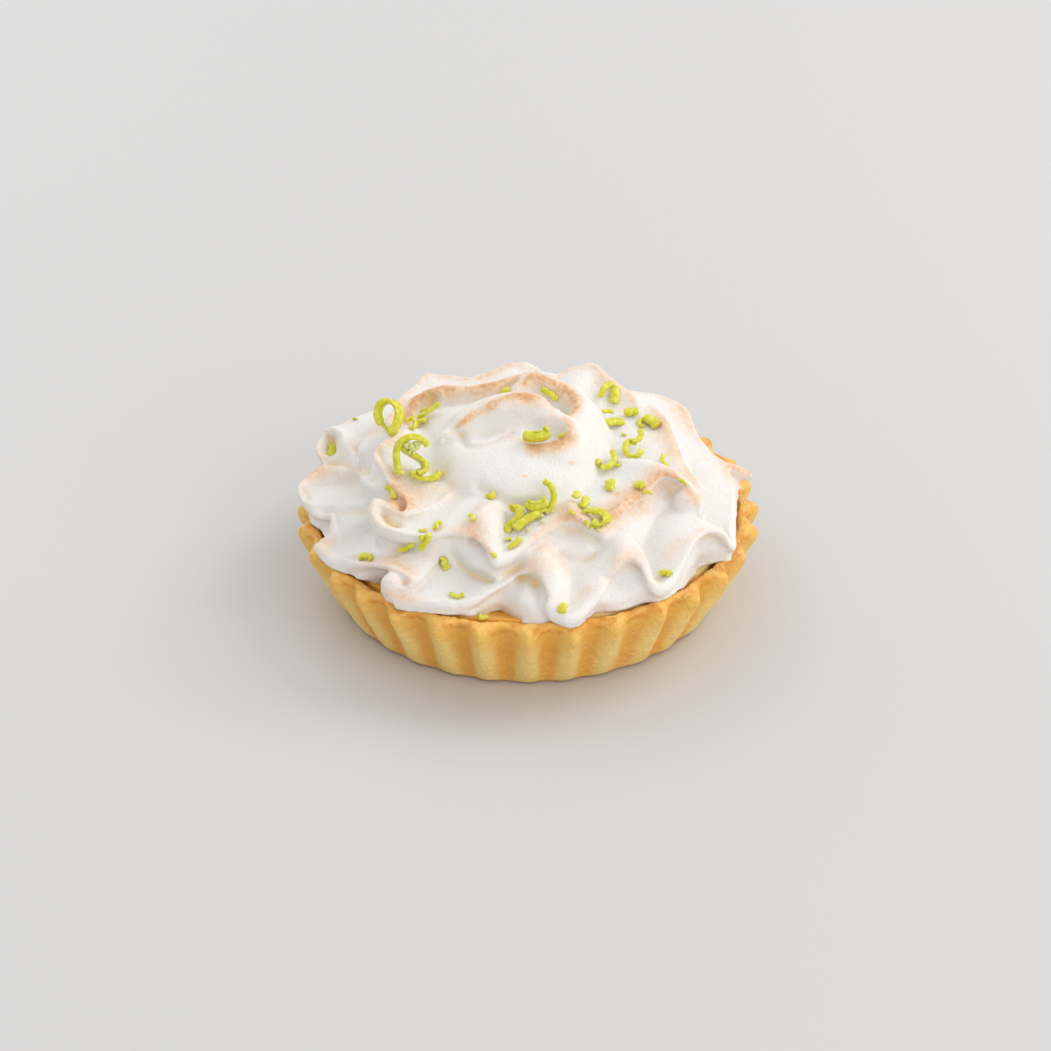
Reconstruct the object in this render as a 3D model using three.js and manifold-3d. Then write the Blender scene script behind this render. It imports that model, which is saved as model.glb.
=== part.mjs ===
// Meringue tart: a fluted shortcrust case, a lemon custard filling, and a topping of meringue
// piped in ruffles, with four large curls of green chocolate lying on it.
// Millimetres, +Z up. The origin is the centre of the flat base; the tart stands on z = 0.
import * as THREE from "three";
import { mergeVertices } from "three/addons/utils/BufferGeometryUtils.js";
import Module from "manifold-3d";

const wasm = await Module();
wasm.setup();

// ---- driving dimensions ----
const GAP = 0.35; // clearance kept between two solids that rest on each other

const FLUTES = 32;
const BASE_REACH = 40.4; // mean radius of the wall at the base
const WALL_REACH = 48.2; // mean radius at the widest level
const WALL_LEVEL = 15.6; // height of that level
const WALL_BULGE = 0.9; // how far the wall swells out of a straight cone
const FOOT_ROUND = 0.7; // radius of the soft edge round the base
const RIM_HEIGHT = 18.4;
const RIM_REACH = 46.4; // middle of the rounded top edge
const RIM_INNER = 44.6; // inside edge of the rim
const RIM_ROUND = 0.9; // how far that inside edge lies below the top
const RIM_SLOPE = 2.2; // how far inside that edge the meringue begins to rest on the rim
const RIM_CLEAR = 0.75; // clearance over the rim, so that slanting faces of the meringue clear it too
const FLOOR_THICK = 3.2;
const FLOOR_REACH = 37.2; // inside radius at the floor
const FLUTE_DEPTH_TOP = 1.55; // how far a flute stands out of the mean wall, and sinks into it
const FLUTE_DEPTH_BASE = 0.55;
const RIDGE_SHARE = 0.22; // share of the second wave, which narrows the ridges and widens the hollows

const FILL_HEIGHT = 16.4; // level of the custard
const FILL_CHAMFER = 0.5;

const CALM_SHARE = 0.045; // share of a lip over which its waving is averaged out, each way
const CAVE_DEPTH = 3.2; // how far the face under a lip lies back where the ruffle tucks in
const BELLY_DEPTH = 1.2; // and where it stands out
const TUCK_RANGE = [-2.5, 2]; // reach of the lip from its average, over which one passes into the other
const FOLD_SHARE = 0.12; // least share of those depths, kept where a lip folds back on itself
const LIP_ROUND = 0.9; // how far in the rounding of a lip reaches
const LIP_UNDER = 1.5; // how far it reaches down
const LIP_OVER = 0.5; // and up
const CREST_BLEND = 0.35; // softness of the join between a crest and the mound
const CREST_RISE = 5; // height of a crest over the mound at which it leans fully

const COLOURS = {
  crust: 0xdca75a,
  custard: 0xe6c27c,
  meringue: 0xf4efe6,
  green: 0xb9cc3c,
};

const TAU = 2 * Math.PI;
const rad = THREE.MathUtils.degToRad;
const mix = THREE.MathUtils.lerp;
const smooth = THREE.MathUtils.smoothstep;

// ---- geometry helpers ----

// Closed surface through rings of equal length; a ring of one point is a pole.
function loft(rings) {
  const n = Math.max(...rings.map((ring) => ring.length));
  const positions = [];
  const starts = rings.map((ring) => {
    const start = positions.length / 3;
    ring.forEach((p) => positions.push(p.x, p.y, p.z));
    return start;
  });
  const faces = [];
  const at = (row, i) => starts[row] + (rings[row].length === 1 ? 0 : i % n);
  for (let row = 0; row + 1 < rings.length; row++) {
    for (let i = 0; i < n; i++) {
      const [a, b] = [at(row, i), at(row, i + 1)];
      const [c, d] = [at(row + 1, i), at(row + 1, i + 1)];
      if (a !== b) faces.push(a, b, d);
      if (c !== d) faces.push(a, d, c);
    }
  }
  const geometry = new THREE.BufferGeometry();
  geometry.setAttribute("position", new THREE.Float32BufferAttribute(positions, 3));
  geometry.setIndex(faces);
  return geometry;
}

function toSolid(geometry) {
  const bare = geometry.clone();
  bare.deleteAttribute("normal");
  bare.deleteAttribute("uv");
  const merged = mergeVertices(bare, 1e-4);
  return new wasm.Manifold(
    new wasm.Mesh({
      numProp: 3,
      vertProperties: new Float32Array(merged.attributes.position.array),
      triVerts: new Uint32Array(merged.index.array),
    }),
  );
}

function toGeometry(solid) {
  const mesh = solid.getMesh();
  const geometry = new THREE.BufferGeometry();
  geometry.setAttribute("position", new THREE.Float32BufferAttribute(mesh.vertProperties, 3));
  geometry.setIndex(new THREE.BufferAttribute(mesh.triVerts, 1));
  return geometry;
}

const polar = ([degrees, reach, height]) =>
  new THREE.Vector3(reach * Math.cos(rad(degrees)), reach * Math.sin(rad(degrees)), height);

function ring(reach, height, count) {
  return Array.from({ length: count }, (_, i) => polar([(360 * i) / count, reach, height]));
}

// ---- crust ----

// One ring of the fluted wall: rounded ridges, with broader hollows between them.
function flutedRing(reach, height, depth, count) {
  return Array.from({ length: count }, (_, i) => {
    const turn = i / count;
    const ridge = Math.cos(TAU * FLUTES * turn) + RIDGE_SHARE * Math.cos(2 * TAU * FLUTES * turn);
    return polar([360 * turn, reach + depth * ridge, height]);
  });
}

// Mean reach and flute depth of the wall at a level.
function wallRing(level, columns) {
  const t = level / WALL_LEVEL;
  const reach = mix(BASE_REACH, WALL_REACH, t) + WALL_BULGE * Math.sin(Math.PI * t) * t;
  return flutedRing(reach, level, mix(FLUTE_DEPTH_BASE, FLUTE_DEPTH_TOP, t), columns);
}

function crust() {
  const columns = FLUTES * 5;
  const shoulder = { reach: mix(WALL_REACH, RIM_REACH, 0.35), height: mix(WALL_LEVEL, RIM_HEIGHT, 0.75) };
  return loft([
    [new THREE.Vector3(0, 0, 0)],
    flutedRing(BASE_REACH - FOOT_ROUND, 0, 0.7 * FLUTE_DEPTH_BASE, columns),
    flutedRing(BASE_REACH, FOOT_ROUND, FLUTE_DEPTH_BASE, columns),
    wallRing(WALL_LEVEL / 2, columns),
    wallRing(WALL_LEVEL, columns),
    flutedRing(shoulder.reach, shoulder.height, 0.8 * FLUTE_DEPTH_TOP, columns),
    flutedRing(RIM_REACH, RIM_HEIGHT, 0.4 * FLUTE_DEPTH_TOP, columns),
    flutedRing(RIM_INNER, RIM_HEIGHT - RIM_ROUND, 0.25 * FLUTE_DEPTH_TOP, columns),
    ring(FLOOR_REACH, FLOOR_THICK, columns),
    [new THREE.Vector3(0, 0, FLOOR_THICK)],
  ]);
}

// ---- custard ----

// Reach of the custard's side at a level: the inside of the wall, less the clearance.
function sideReach(level) {
  const t = (level - FLOOR_THICK) / (RIM_HEIGHT - RIM_ROUND - FLOOR_THICK);
  return mix(FLOOR_REACH, RIM_INNER - 0.25 * FLUTE_DEPTH_TOP, t) - GAP;
}

function custard() {
  const low = FLOOR_THICK + GAP;
  const count = 48;
  return loft([
    [new THREE.Vector3(0, 0, low)],
    ring(sideReach(low) - FILL_CHAMFER, low, count),
    ring(sideReach(FILL_HEIGHT - FILL_CHAMFER), FILL_HEIGHT - FILL_CHAMFER, count),
    ring(sideReach(FILL_HEIGHT) - FILL_CHAMFER, FILL_HEIGHT, count),
    [new THREE.Vector3(0, 0, FILL_HEIGHT)],
  ]);
}

// ---- meringue ----

// Lip of each ruffle: [angle in degrees from +X, reach from the axis, height].
const LOWER_LIP = [
  [5, 48.2, 23.5], [10.5, 44.4, 24.4], [18, 42.4, 24.6], [27, 42.2, 25.4], [35, 42.8, 27.6], [43, 41, 28.6],
  [52, 38.5, 28.5], [61, 42, 25], [72, 46, 22.8], [82, 43, 24.5], [92, 46.5, 22.6], [103, 46, 22.8],
  [112, 42, 24.6], [122, 45.8, 23], [133, 45.6, 23.4], [142, 41.5, 27], [149, 41.6, 28], [154, 43.6, 27.6],
  [160, 46.6, 26.4], [166, 46.8, 24.8], [171, 44.2, 24], [175, 46.2, 24.2], [180, 48.9, 22.8],
  [186, 47.5, 22.2], [193, 45.4, 21.8], [197, 43, 22.4], [203, 47, 21.3], [208, 48.3, 20.3],
  [216, 46.8, 20.6], [226, 44, 22.8], [233, 43, 22.8], [237, 43.6, 22], [234, 45.4, 21.5],
  [231, 46.6, 21.2], [234, 48.3, 20.1], [241, 47.6, 19.4], [252, 44.8, 19.5], [261, 41.2, 20.8],
  [267, 38, 23], [271, 37.6, 23.6], [273.4, 40.4, 22.2], [275, 45.7, 20], [278.5, 48.5, 19.4],
  [284, 45.7, 19.9], [291, 42.6, 21.8], [298, 40.4, 25], [303, 41, 24.8], [302.6, 44.4, 22.2],
  [306, 46, 20.6], [313, 44.6, 21.2], [320, 43.4, 23.8], [326, 42.8, 25.4], [330.5, 44.5, 24.4],
  [331, 47.8, 21.4], [338, 46, 22.4], [346, 44.8, 23.6], [355, 43.6, 25.6], [0.5, 43, 26.8],
];
const MIDDLE_LIP = [
  [18, 31.4, 33.2], [26, 31.2, 33.6], [38, 29.8, 33.8], [52, 30.4, 35], [63, 31.2, 36.6], [71, 29.5, 36],
  [80, 26.4, 34.4], [88, 28, 35.4], [96, 29.4, 36.4], [106, 28, 35.8], [116, 28, 35], [124, 32.4, 34.8],
  [130, 35, 35.2], [137, 33.6, 34.6], [148, 32, 35], [160, 30, 35.6], [172, 30, 35.8], [184, 31, 35.8],
  [193, 32.8, 36], [200, 32.6, 35.2], [210, 32.6, 33.6],
  [219, 32.6, 31.8], [223.5, 33.6, 30.8], [217.5, 34.6, 30.3], [215, 37, 29.8], [219, 39, 29.2],
  [226, 38.8, 28.4], [236, 36.6, 28], [245, 34, 29.2], [252, 33.6, 30.2], [256.6, 35.8, 28.4],
  [255.5, 39.2, 26.3], [260, 39.8, 25.6], [266, 36.8, 26.2], [273, 33.8, 27.6], [281, 31.6, 29.4],
  [288, 31, 30.6], [293, 31.6, 30.4], [298, 31.8, 29.2], [306, 30, 30], [314, 29.2, 31], [322, 30.6, 32],
  [328, 32, 34.4], [331, 34.2, 34], [329, 38.2, 31.8], [331, 40.6, 29.2], [340, 37.6, 30.6],
  [351, 33, 31.6], [4, 31.4, 32.4],
];

// Crests on the crown: [x, y, height] along each, and how far its left and right slopes reach for the first
// millimetre of fall. The last curl's crest leans over its steep right slope.
const CRESTS = [
  {
    route: [
      [-27, 3, 34.6], [-25.2, 9, 37], [-22.9, 12.4, 39], [-18.6, 13, 40.2], [-12.4, 12.4, 40.6],
      [-6.8, 12.7, 41.2], [-1.7, 13.7, 42.4], [0.6, 12.8, 43.2],
    ],
    slopes: [2.2, 1.2],
  },
  {
    route: [
      [0.6, 12.8, 43.2], [4, 10.9, 42.4], [7.4, 9, 41.8], [9.7, 6, 41.3], [10.2, 2.6, 40.6], [8.6, -0.6, 40],
    ],
    slopes: [2.6, 1],
  },
  {
    route: [
      [-15.5, -2.2, 39.4], [-10.5, -0.6, 42.2], [-6.3, 0.6, 43.6], [-1.8, 2, 44.4], [2.8, 2.8, 43.8],
      [5.4, 1.6, 42],
    ],
    slopes: [2.5, 0.75],
    lean: 1.4,
  },
  {
    route: [
      [-5, -4.6, 38.6], [-1.5, -8, 38.9], [2.7, -9.2, 39], [6.6, -8.6, 39.5], [8.7, -6, 40.4], [8, -3.6, 41.6],
      [5.7, -2, 42],
    ],
    slopes: [0.9, 2.4],
  },
];
// Hollows in the crown: [x, y], reach and depth.
const HOLLOWS = [
  { at: [1.8, -5.8], reach: 2.8, depth: 1.6 },
  { at: [6.4, 4.4], reach: 2.6, depth: 2 },
  { at: [-8.5, -3.6], reach: 3, depth: 0.9 },
];
// The mound under them: its middle, its reach and a bulge of it [angle, width, reach], and its heights.
const MOUND = { centre: [-2.4, -0.6], reach: 20.8, bulge: [155, 17, 6.2], shoulder: 29, top: 38.6, foot: 27 };
const MOUND_POWER = 2.4; // 2 is round, more is flatter on top

function lipCurve(rows, count) {
  const curve = new THREE.CatmullRomCurve3(rows.map(polar), true, "centripetal");
  curve.arcLengthDivisions = 2000;
  return curve.getSpacedPoints(count).slice(0, count);
}

// Moving average of a closed row of points over a window of 2 * reach + 1 of them.
function averaged(points, reach) {
  const n = points.length;
  return points.map((_, i) => {
    const sum = new THREE.Vector3();
    for (let k = -reach; k <= reach; k++) sum.add(points[(i + k + n) % n]);
    return sum.divideScalar(2 * reach + 1);
  });
}

// Lowest level at which meringue lies: on the rim where it reaches over it, else on the custard.
const restLevel = (reach) =>
  reach > RIM_INNER - RIM_SLOPE ? RIM_HEIGHT + RIM_CLEAR : FILL_HEIGHT + GAP;

// Vectors across the lip, level and pointing into the meringue: unit long, and shorter in the folds.
function inward(points) {
  const n = points.length;
  return points.map((_, i) => {
    const along = points[(i + 1) % n].clone().sub(points[(i + n - 1) % n]);
    const across = new THREE.Vector3(-along.y, along.x, 0).normalize();
    const middle = points[i].clone().setZ(0).negate().normalize();
    return across.multiplyScalar(Math.max(FOLD_SHARE, across.dot(middle)));
  });
}

const shifted = (points, across, inset, rise) =>
  points.map((p, i) => p.clone().addScaledVector(across[i], inset).setZ(p.z + rise));

// A ruffle: a thin lip, a hollowed outer face below it, and a top that closes over the middle. On the top,
// each row lies a share of the way in, keeps a share of the lip's waving, and swells by a share of the swell.
function ruffle(rows, { count, foot, footReach, crown, crownReach, swell }) {
  const lip = lipCurve(rows, count);
  const calm = averaged(lip, Math.round(count * CALM_SHARE));
  const across = inward(lip);
  const circle = (reach, height) =>
    calm.map((p) => p.clone().setZ(0).setLength(reach).setZ(height));
  const edge = circle(crownReach, crown);
  const topRow = (share, waving, swelling) =>
    lip.map((p, i) => {
      const wave = p.clone().sub(calm[i]).multiplyScalar(waving);
      return calm[i].clone().lerp(edge[i], share).add(wave).add(new THREE.Vector3(0, 0, swelling * swell));
    });
  const belly = lip.map((p, i) => {
    const out = Math.hypot(p.x, p.y) - Math.hypot(calm[i].x, calm[i].y);
    const cave = mix(CAVE_DEPTH, BELLY_DEPTH, smooth(out, ...TUCK_RANGE));
    return p.clone().addScaledVector(across[i], cave).setZ(mix(p.z, foot, 0.5));
  });
  const rings = [
    [new THREE.Vector3(0, 0, foot)],
    circle(footReach, foot),
    averaged(belly, 1),
    shifted(lip, across, LIP_ROUND, -LIP_UNDER),
    lip,
    shifted(lip, across, LIP_ROUND, LIP_OVER),
    topRow(0.15, 0.85, 0.6),
    topRow(0.38, 0.55, 1),
    edge,
    [new THREE.Vector3(0, 0, crown)],
  ];
  rings.flat().forEach((p) => p.setZ(Math.max(p.z, restLevel(Math.hypot(p.x, p.y)))));
  return loft(rings);
}

// Height over (x, y) of one crest, with parabolic slopes.
function crestHeight(x, y, { line, slopes }) {
  let best = { gap: Infinity };
  for (let i = 1; i < line.length; i++) {
    const [a, b] = [line[i - 1], line[i]];
    const [dx, dy] = [b.x - a.x, b.y - a.y];
    const t = Math.min(1, Math.max(0, ((x - a.x) * dx + (y - a.y) * dy) / (dx * dx + dy * dy)));
    const gap = Math.hypot(x - a.x - dx * t, y - a.y - dy * t);
    const side = dx * (y - a.y) - dy * (x - a.x);
    if (gap < best.gap) best = { gap, side, height: mix(a.z, b.z, t) };
  }
  const slope = best.side > 0 ? slopes[0] : slopes[1];
  return best.height - (best.gap / slope) ** 2;
}

const smoothMax = (a, b, blend) => blend * Math.log(Math.exp(a / blend) + Math.exp(b / blend));

// The crown of the meringue: a mound whose top carries the crests and hollows.
function crown({ columns, steps }) {
  const { centre, reach, bulge, shoulder, top, foot } = MOUND;
  const crests = CRESTS.map((crest) => {
    const points = crest.route.map((p) => new THREE.Vector3(...p));
    const curve = new THREE.CatmullRomCurve3(points, false, "centripetal");
    return { ...crest, line: curve.getPoints(4 * points.length) };
  });
  const lifted = (x, y, base) => {
    const heights = crests.map((crest) => crestHeight(x, y, crest));
    const raised = heights.reduce((z, h) => smoothMax(z, h, CREST_BLEND), base);
    const sunk = HOLLOWS.reduce((sum, hollow) => {
      const gap = Math.hypot(x - hollow.at[0], y - hollow.at[1]) / hollow.reach;
      return sum + hollow.depth * Math.exp(-gap * gap);
    }, 0);
    const lean = crests.reduce(
      (sum, crest, i) => sum + (crest.lean ?? 0) * smooth(heights[i] - base, 0, CREST_RISE),
      0,
    );
    return new THREE.Vector3(x, y - lean, raised - sunk);
  };
  const row = (share) =>
    Array.from({ length: columns }, (_, i) => {
      const turn = (360 * i) / columns;
      const [angle, width, extra] = bulge;
      const edge = reach + extra * Math.exp(-(((turn - angle) / width) ** 2));
      const x = centre[0] + edge * share * Math.cos(rad(turn));
      const y = centre[1] + edge * share * Math.sin(rad(turn));
      return lifted(x, y, mix(shoulder, top, Math.sqrt(1 - share ** MOUND_POWER)));
    });
  // The rows lie closer together near the edge, where the mound is steep.
  const rows = Array.from({ length: steps }, (_, k) => row(1 - (k / steps) ** 1.4));
  return loft([
    [new THREE.Vector3(...centre, foot)],
    rows[0].map((p) => p.clone().setZ(foot)),
    ...rows,
    [lifted(...centre, top)],
  ]);
}

function meringue() {
  const lower = ruffle(LOWER_LIP, {
    count: 112, foot: FILL_HEIGHT + GAP, footReach: 40.6, crown: 24, crownReach: 22, swell: 0.8,
  });
  const middle = ruffle(MIDDLE_LIP, {
    count: 92, foot: 20, footReach: 28, crown: 31.5, crownReach: 12, swell: 0.5,
  });
  const parts = [lower, middle, crown({ columns: 54, steps: 15 })].map(toSolid);
  return toGeometry(parts.reduce((a, b) => a.add(b)));
}

// ---- green chocolate curls ----

// A curl is one or more strokes, joined where they meet. Each follows points given as [across, up, forward]
// in a frame that leans back from the curl's foot. No bend is tighter than the stroke is thick.
const CURL_LEAN = rad(32);
const CURLS = {
  curl_ring: {
    foot: [-28.6, -2.2, 36.5],
    strokes: [
      {
        thick: 0.9,
        route: [
          [-0.1, 0, 0.4], [1.7, 1.3, 0.4], [2.2, 3.6, 0.2], [1.6, 5.6, 0], [0, 6.4, -0.3], [-1.6, 5.4, -0.8],
          [-2.1, 3.4, -1.2], [-1.5, 1.6, -1.4],
        ],
      },
    ],
  },
  curl_double: {
    foot: [-24.5, -14.3, 34.7],
    strokes: [
      {
        thick: 0.8,
        route: [
          [-1.6, 0.3, 0], [-2.6, 2.4, 0], [-2.4, 4.6, 0], [-1.3, 6.2, 0], [0.6, 6.9, -0.1], [2.4, 6.3, -0.4],
          [3.3, 5, -0.9],
        ],
      },
      {
        thick: 0.65,
        route: [
          [3.2, 5.1, -0.9], [1.7, 4.6, -1.4], [0.1, 4.5, -1.5], [-0.5, 3.4, -1.3], [0.8, 2.6, -0.7],
          [2.4, 2, -0.1], [2.9, 0.7, 0.5], [1.8, -0.3, 0.9], [0.4, -0.2, 1.1],
        ],
      },
    ],
  },
  curl_roll: {
    foot: [2, -8.8, 39.9],
    strokes: [
      {
        thick: 1.15,
        route: [[-2.9, 0.5, 0], [-1.4, 0.1, 0.3], [0.3, 0, 0.3], [1.8, 0.5, 0], [2.9, 1.7, -0.4]],
      },
    ],
  },
  curl_hook: {
    foot: [3.2, -23.4, 30.7],
    strokes: [
      {
        thick: 1.1,
        route: [[-3, 1.7, 0.2], [-1.5, 1.2, 0.5], [0.2, 1.2, 0.5], [1.2, 1.5, 0.3]],
      },
      {
        thick: 0.7,
        route: [[0.9, 1.1, 0.2], [1.7, 2.4, 0], [1.5, 3.9, -0.3], [0.5, 5, -0.5], [-0.8, 5.2, -0.6]],
      },
    ],
  },
};

function curl({ foot, strokes }) {
  const up = new THREE.Vector3(0, Math.sin(CURL_LEAN), Math.cos(CURL_LEAN));
  const forward = new THREE.Vector3(0, -up.z, up.y);
  const place = ([x, y, z]) =>
    new THREE.Vector3(foot[0] + x, foot[1], foot[2]).addScaledVector(up, y).addScaledVector(forward, z);
  const parts = strokes.map(({ thick, route }) => {
    const path = new THREE.CatmullRomCurve3(route.map(place), false, "centripetal");
    const section = new THREE.Shape(ring(thick, 0, 6).map((p) => new THREE.Vector2(p.x, p.y)));
    return toSolid(new THREE.ExtrudeGeometry(section, { extrudePath: path, steps: route.length * 2 }));
  });
  return toGeometry(parts.reduce((a, b) => a.add(b)));
}

// ---- assembly ----

function piece(name, geometry, colour, roughness) {
  const material = new THREE.MeshStandardMaterial({ color: colour, roughness, metalness: 0 });
  const mesh = new THREE.Mesh(geometry, material);
  mesh.name = name;
  return mesh;
}

const tart = new THREE.Group();
tart.add(
  piece("crust", crust(), COLOURS.crust, 0.75),
  piece("custard", custard(), COLOURS.custard, 0.4),
  piece("meringue", meringue(), COLOURS.meringue, 0.85),
  ...Object.entries(CURLS).map(([name, shape]) => piece(name, curl(shape), COLOURS.green, 0.4)),
);

export default tart;
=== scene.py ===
# %% [markdown]
# # A meringue tart
# The tart is a fluted shortcrust case, filled with custard and covered by soft meringue in ruffles, toasted
# along its crests, with shavings of green chocolate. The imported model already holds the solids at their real
# size. This notebook builds the surfaces that are seen: lumpy baked dough, foam with thin lips, waxy curls.

import math

import bmesh
import bpy
import numpy as np
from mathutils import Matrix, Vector, noise
from mathutils.bvhtree import BVHTree
from mathutils.kdtree import KDTree


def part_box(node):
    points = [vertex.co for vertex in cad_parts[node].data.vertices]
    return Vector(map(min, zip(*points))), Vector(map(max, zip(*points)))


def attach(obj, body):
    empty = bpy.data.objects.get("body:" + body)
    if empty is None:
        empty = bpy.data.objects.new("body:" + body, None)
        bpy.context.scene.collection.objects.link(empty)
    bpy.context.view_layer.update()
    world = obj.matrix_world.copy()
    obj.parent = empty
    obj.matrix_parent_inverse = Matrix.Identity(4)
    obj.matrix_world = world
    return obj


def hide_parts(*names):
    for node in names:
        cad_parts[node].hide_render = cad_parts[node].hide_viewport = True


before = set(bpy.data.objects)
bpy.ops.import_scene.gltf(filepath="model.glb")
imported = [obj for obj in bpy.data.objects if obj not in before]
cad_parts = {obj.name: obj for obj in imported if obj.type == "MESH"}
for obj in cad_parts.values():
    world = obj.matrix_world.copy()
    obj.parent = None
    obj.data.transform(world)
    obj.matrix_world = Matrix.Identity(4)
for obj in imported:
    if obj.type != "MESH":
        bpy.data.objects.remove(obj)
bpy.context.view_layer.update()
MM = 0.001
print("nodes:", sorted(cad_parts))

# %% [markdown]
# ## Camera
# A tart is looked at from a seat at the table, so the camera stands in front of it and looks down by about a
# third of a right angle. A long lens from 65 cm keeps the ellipse of the rim natural, with little
# perspective.

# %% Camera
CAMERA_RISE = math.radians(32.3)
CAMERA_DISTANCE = 0.65
CAMERA_AIM = Vector((-0.43, 0, 12.6)) * MM
LENS, SENSOR_WIDTH = 104.4, 36


def add_object(name, data):
    made = bpy.data.objects.new(name, data)
    bpy.context.scene.collection.objects.link(made)
    return made


def looking_from(direction):
    """The turn of a camera or a light that looks at the tart from a direction."""
    return direction.to_track_quat("Z", "Y").to_euler()


def add_camera():
    back = Vector((0, -math.cos(CAMERA_RISE), math.sin(CAMERA_RISE)))
    data = bpy.data.cameras.new("camera")
    data.sensor_width = SENSOR_WIDTH
    data.lens = LENS
    data.clip_start = 0.01
    camera = add_object("camera", data)
    camera.location = CAMERA_AIM + back * CAMERA_DISTANCE
    camera.rotation_euler = looking_from(back)
    bpy.context.scene.camera = camera
    return camera


print("camera at", [round(v, 3) for v in add_camera().location])

# %% [markdown]
# ## Helpers for meshes
# Each piece starts as a bmesh, which is turned into a mesh and then into an object that rides on the body of
# the tart. The case and the filling are round, so their outline is drawn once as edges and spun round the
# axis.

# %% Mesh helpers
rng = np.random.default_rng(7)


def smooth_step(x, low, high):
    t = np.clip((x - low) / (high - low), 0, 1)
    return t * t * (3 - 2 * t)


def spun(outline, steps):
    """A bmesh of an outline, given as reach and height in mm, spun round the axis of the tart."""
    bm = bmesh.new()
    verts = [bm.verts.new((reach * MM, 0, height * MM)) for reach, height in outline]
    edges = [bm.edges.new(pair) for pair in zip(verts, verts[1:])]
    bmesh.ops.spin(
        bm, geom=verts + edges, cent=(0, 0, 0), axis=(0, 0, 1), angle=2 * math.pi,
        steps=steps, use_merge=True,
    )
    bmesh.ops.remove_doubles(bm, verts=bm.verts, dist=1e-6)
    return bm


def mesh_of(name, bm):
    mesh = bpy.data.meshes.new(name)
    bm.to_mesh(mesh)
    bm.free()
    return mesh


def add_piece(name, mesh, slot, *nodes):
    """Makes a mesh a piece of the tart that rides on its one body."""
    mesh.polygons.foreach_set("use_smooth", [True] * len(mesh.polygons))
    piece = add_object(name, mesh)
    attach(piece, "root")
    if nodes:
        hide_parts(*nodes)
    print(name, len(mesh.vertices), "vertices")
    return piece


def finish_piece(name, bm, slot, *nodes):
    bmesh.ops.recalc_face_normals(bm, faces=bm.faces)
    return add_piece(name, mesh_of(name, bm), slot, *nodes)

# %% [markdown]
# ## Sizes
# The reach of the case, the height of its rim, and the reach and level of the custard are read from the
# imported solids. Only the proportions inside those sizes are stated here.

# %% Sizes from the frame
crust_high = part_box("crust")[1] / MM
custard_low, custard_high = (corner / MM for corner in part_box("custard"))
TIP_REACH = crust_high.x
RIM_HEIGHT = crust_high.z
FILL_REACH, FILL_HEIGHT = custard_high.x, custard_high.z
FLUTES = 32
print("tip reach", round(TIP_REACH, 2), "rim", round(RIM_HEIGHT, 2), "custard", round(FILL_HEIGHT, 2))

# %% [markdown]
# ## Crust
# Shortcrust pressed into a fluted tin keeps rounded ridges with broader hollows between them. Nothing in it
# is exact: each flute differs a little, the cut top edge is lumpy, and the foot is soft. The profile of the
# wall is drawn once as edges, spun round the axis, and each vertex is then moved for its flute and its lumps.

# %% Crust profile
# The wall from the middle of the base, over the rim, to the middle of the floor: share of the tip reach,
# share of the rim height, and depth of the flutes in mm.
WALL = [
    (0.0, 0.0, 0), (0.4, 0.0, 0), (0.76, 0.0, 0.05), (0.792, 0.002, 0.15), (0.806, 0.02, 0.25),
    (0.815, 0.06, 0.4), (0.839, 0.2, 0.8), (0.873, 0.42, 1.25), (0.906, 0.63, 1.55), (0.933, 0.79, 1.7),
    (0.944, 0.87, 1.65), (0.947, 0.93, 1.5), (0.943, 0.97, 1.2), (0.932, 0.99, 0.8), (0.917, 0.997, 0.45),
    (0.904, 0.99, 0.3), (0.893, 0.96, 0.25), (0.884, 0.9, 0.2), (0.868, 0.8, 0.1), (0.8, 0.4, 0),
    (0.76, 0.2, 0), (0.7, 0.17, 0), (0.0, 0.17, 0),
]
# Where the curved wall starts and ends in that list, its length in mm and the step between its points.
WALL_START, WALL_END, WALL_LENGTH, WALL_STEP = 2, 19, 46, 0.45


def catmull(points, count):
    """An open centripetal curve through points, as count equally spaced points."""
    points = np.asarray(points, float)
    ends = np.vstack([2 * points[0] - points[1], points, 2 * points[-1] - points[-2]])
    return respace(sample_centripetal(ends, 24), count)


def sample_centripetal(control, per_span):
    """Centripetal Catmull-Rom through control[1:-1]."""
    out = []
    u = np.linspace(0, 1, per_span, endpoint=False)[:, None]
    for p0, p1, p2, p3 in zip(control, control[1:], control[2:], control[3:]):
        d0, d1, d2 = (max(np.linalg.norm(b - a), 1e-4) ** 0.5 for a, b in ((p0, p1), (p1, p2), (p2, p3)))
        t1 = ((p1 - p0) / d0 - (p2 - p0) / (d0 + d1) + (p2 - p1) / d1) * d1
        t2 = ((p2 - p1) / d1 - (p3 - p1) / (d1 + d2) + (p3 - p2) / d2) * d1
        a, b = 2 * p1 - 2 * p2 + t1 + t2, -3 * p1 + 3 * p2 - 2 * t1 - t2
        out.append(a * u**3 + b * u**2 + t1 * u + p1)
    return np.vstack(out + [control[-2][None]])


def respace(points, count):
    along = np.concatenate([[0], np.cumsum(np.linalg.norm(np.diff(points, axis=0), axis=1))])
    at = np.linspace(0, along[-1], count)
    return np.stack([np.interp(at, along, points[:, k]) for k in range(points.shape[1])], axis=1)


wall_mm = [(r * TIP_REACH, h * RIM_HEIGHT, depth) for r, h, depth in WALL]
curved = catmull(wall_mm[WALL_START:WALL_END], int(WALL_LENGTH / WALL_STEP))
profile = np.vstack([wall_mm[:WALL_START], curved, wall_mm[WALL_END:]])
print("crust profile of", len(profile), "points")

# %% [markdown]
# A finished mesh can be shaped and measured all at once: its points are read into one array of rows in mm,
# worked on, and written back. Values for the materials are stored beside them, one for each point.

# %% Points of a mesh
def vertex_rows(mesh, kind):
    rows = np.empty(len(mesh.vertices) * 3)
    mesh.vertices.foreach_get(kind, rows)
    return rows.reshape(-1, 3)


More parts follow.
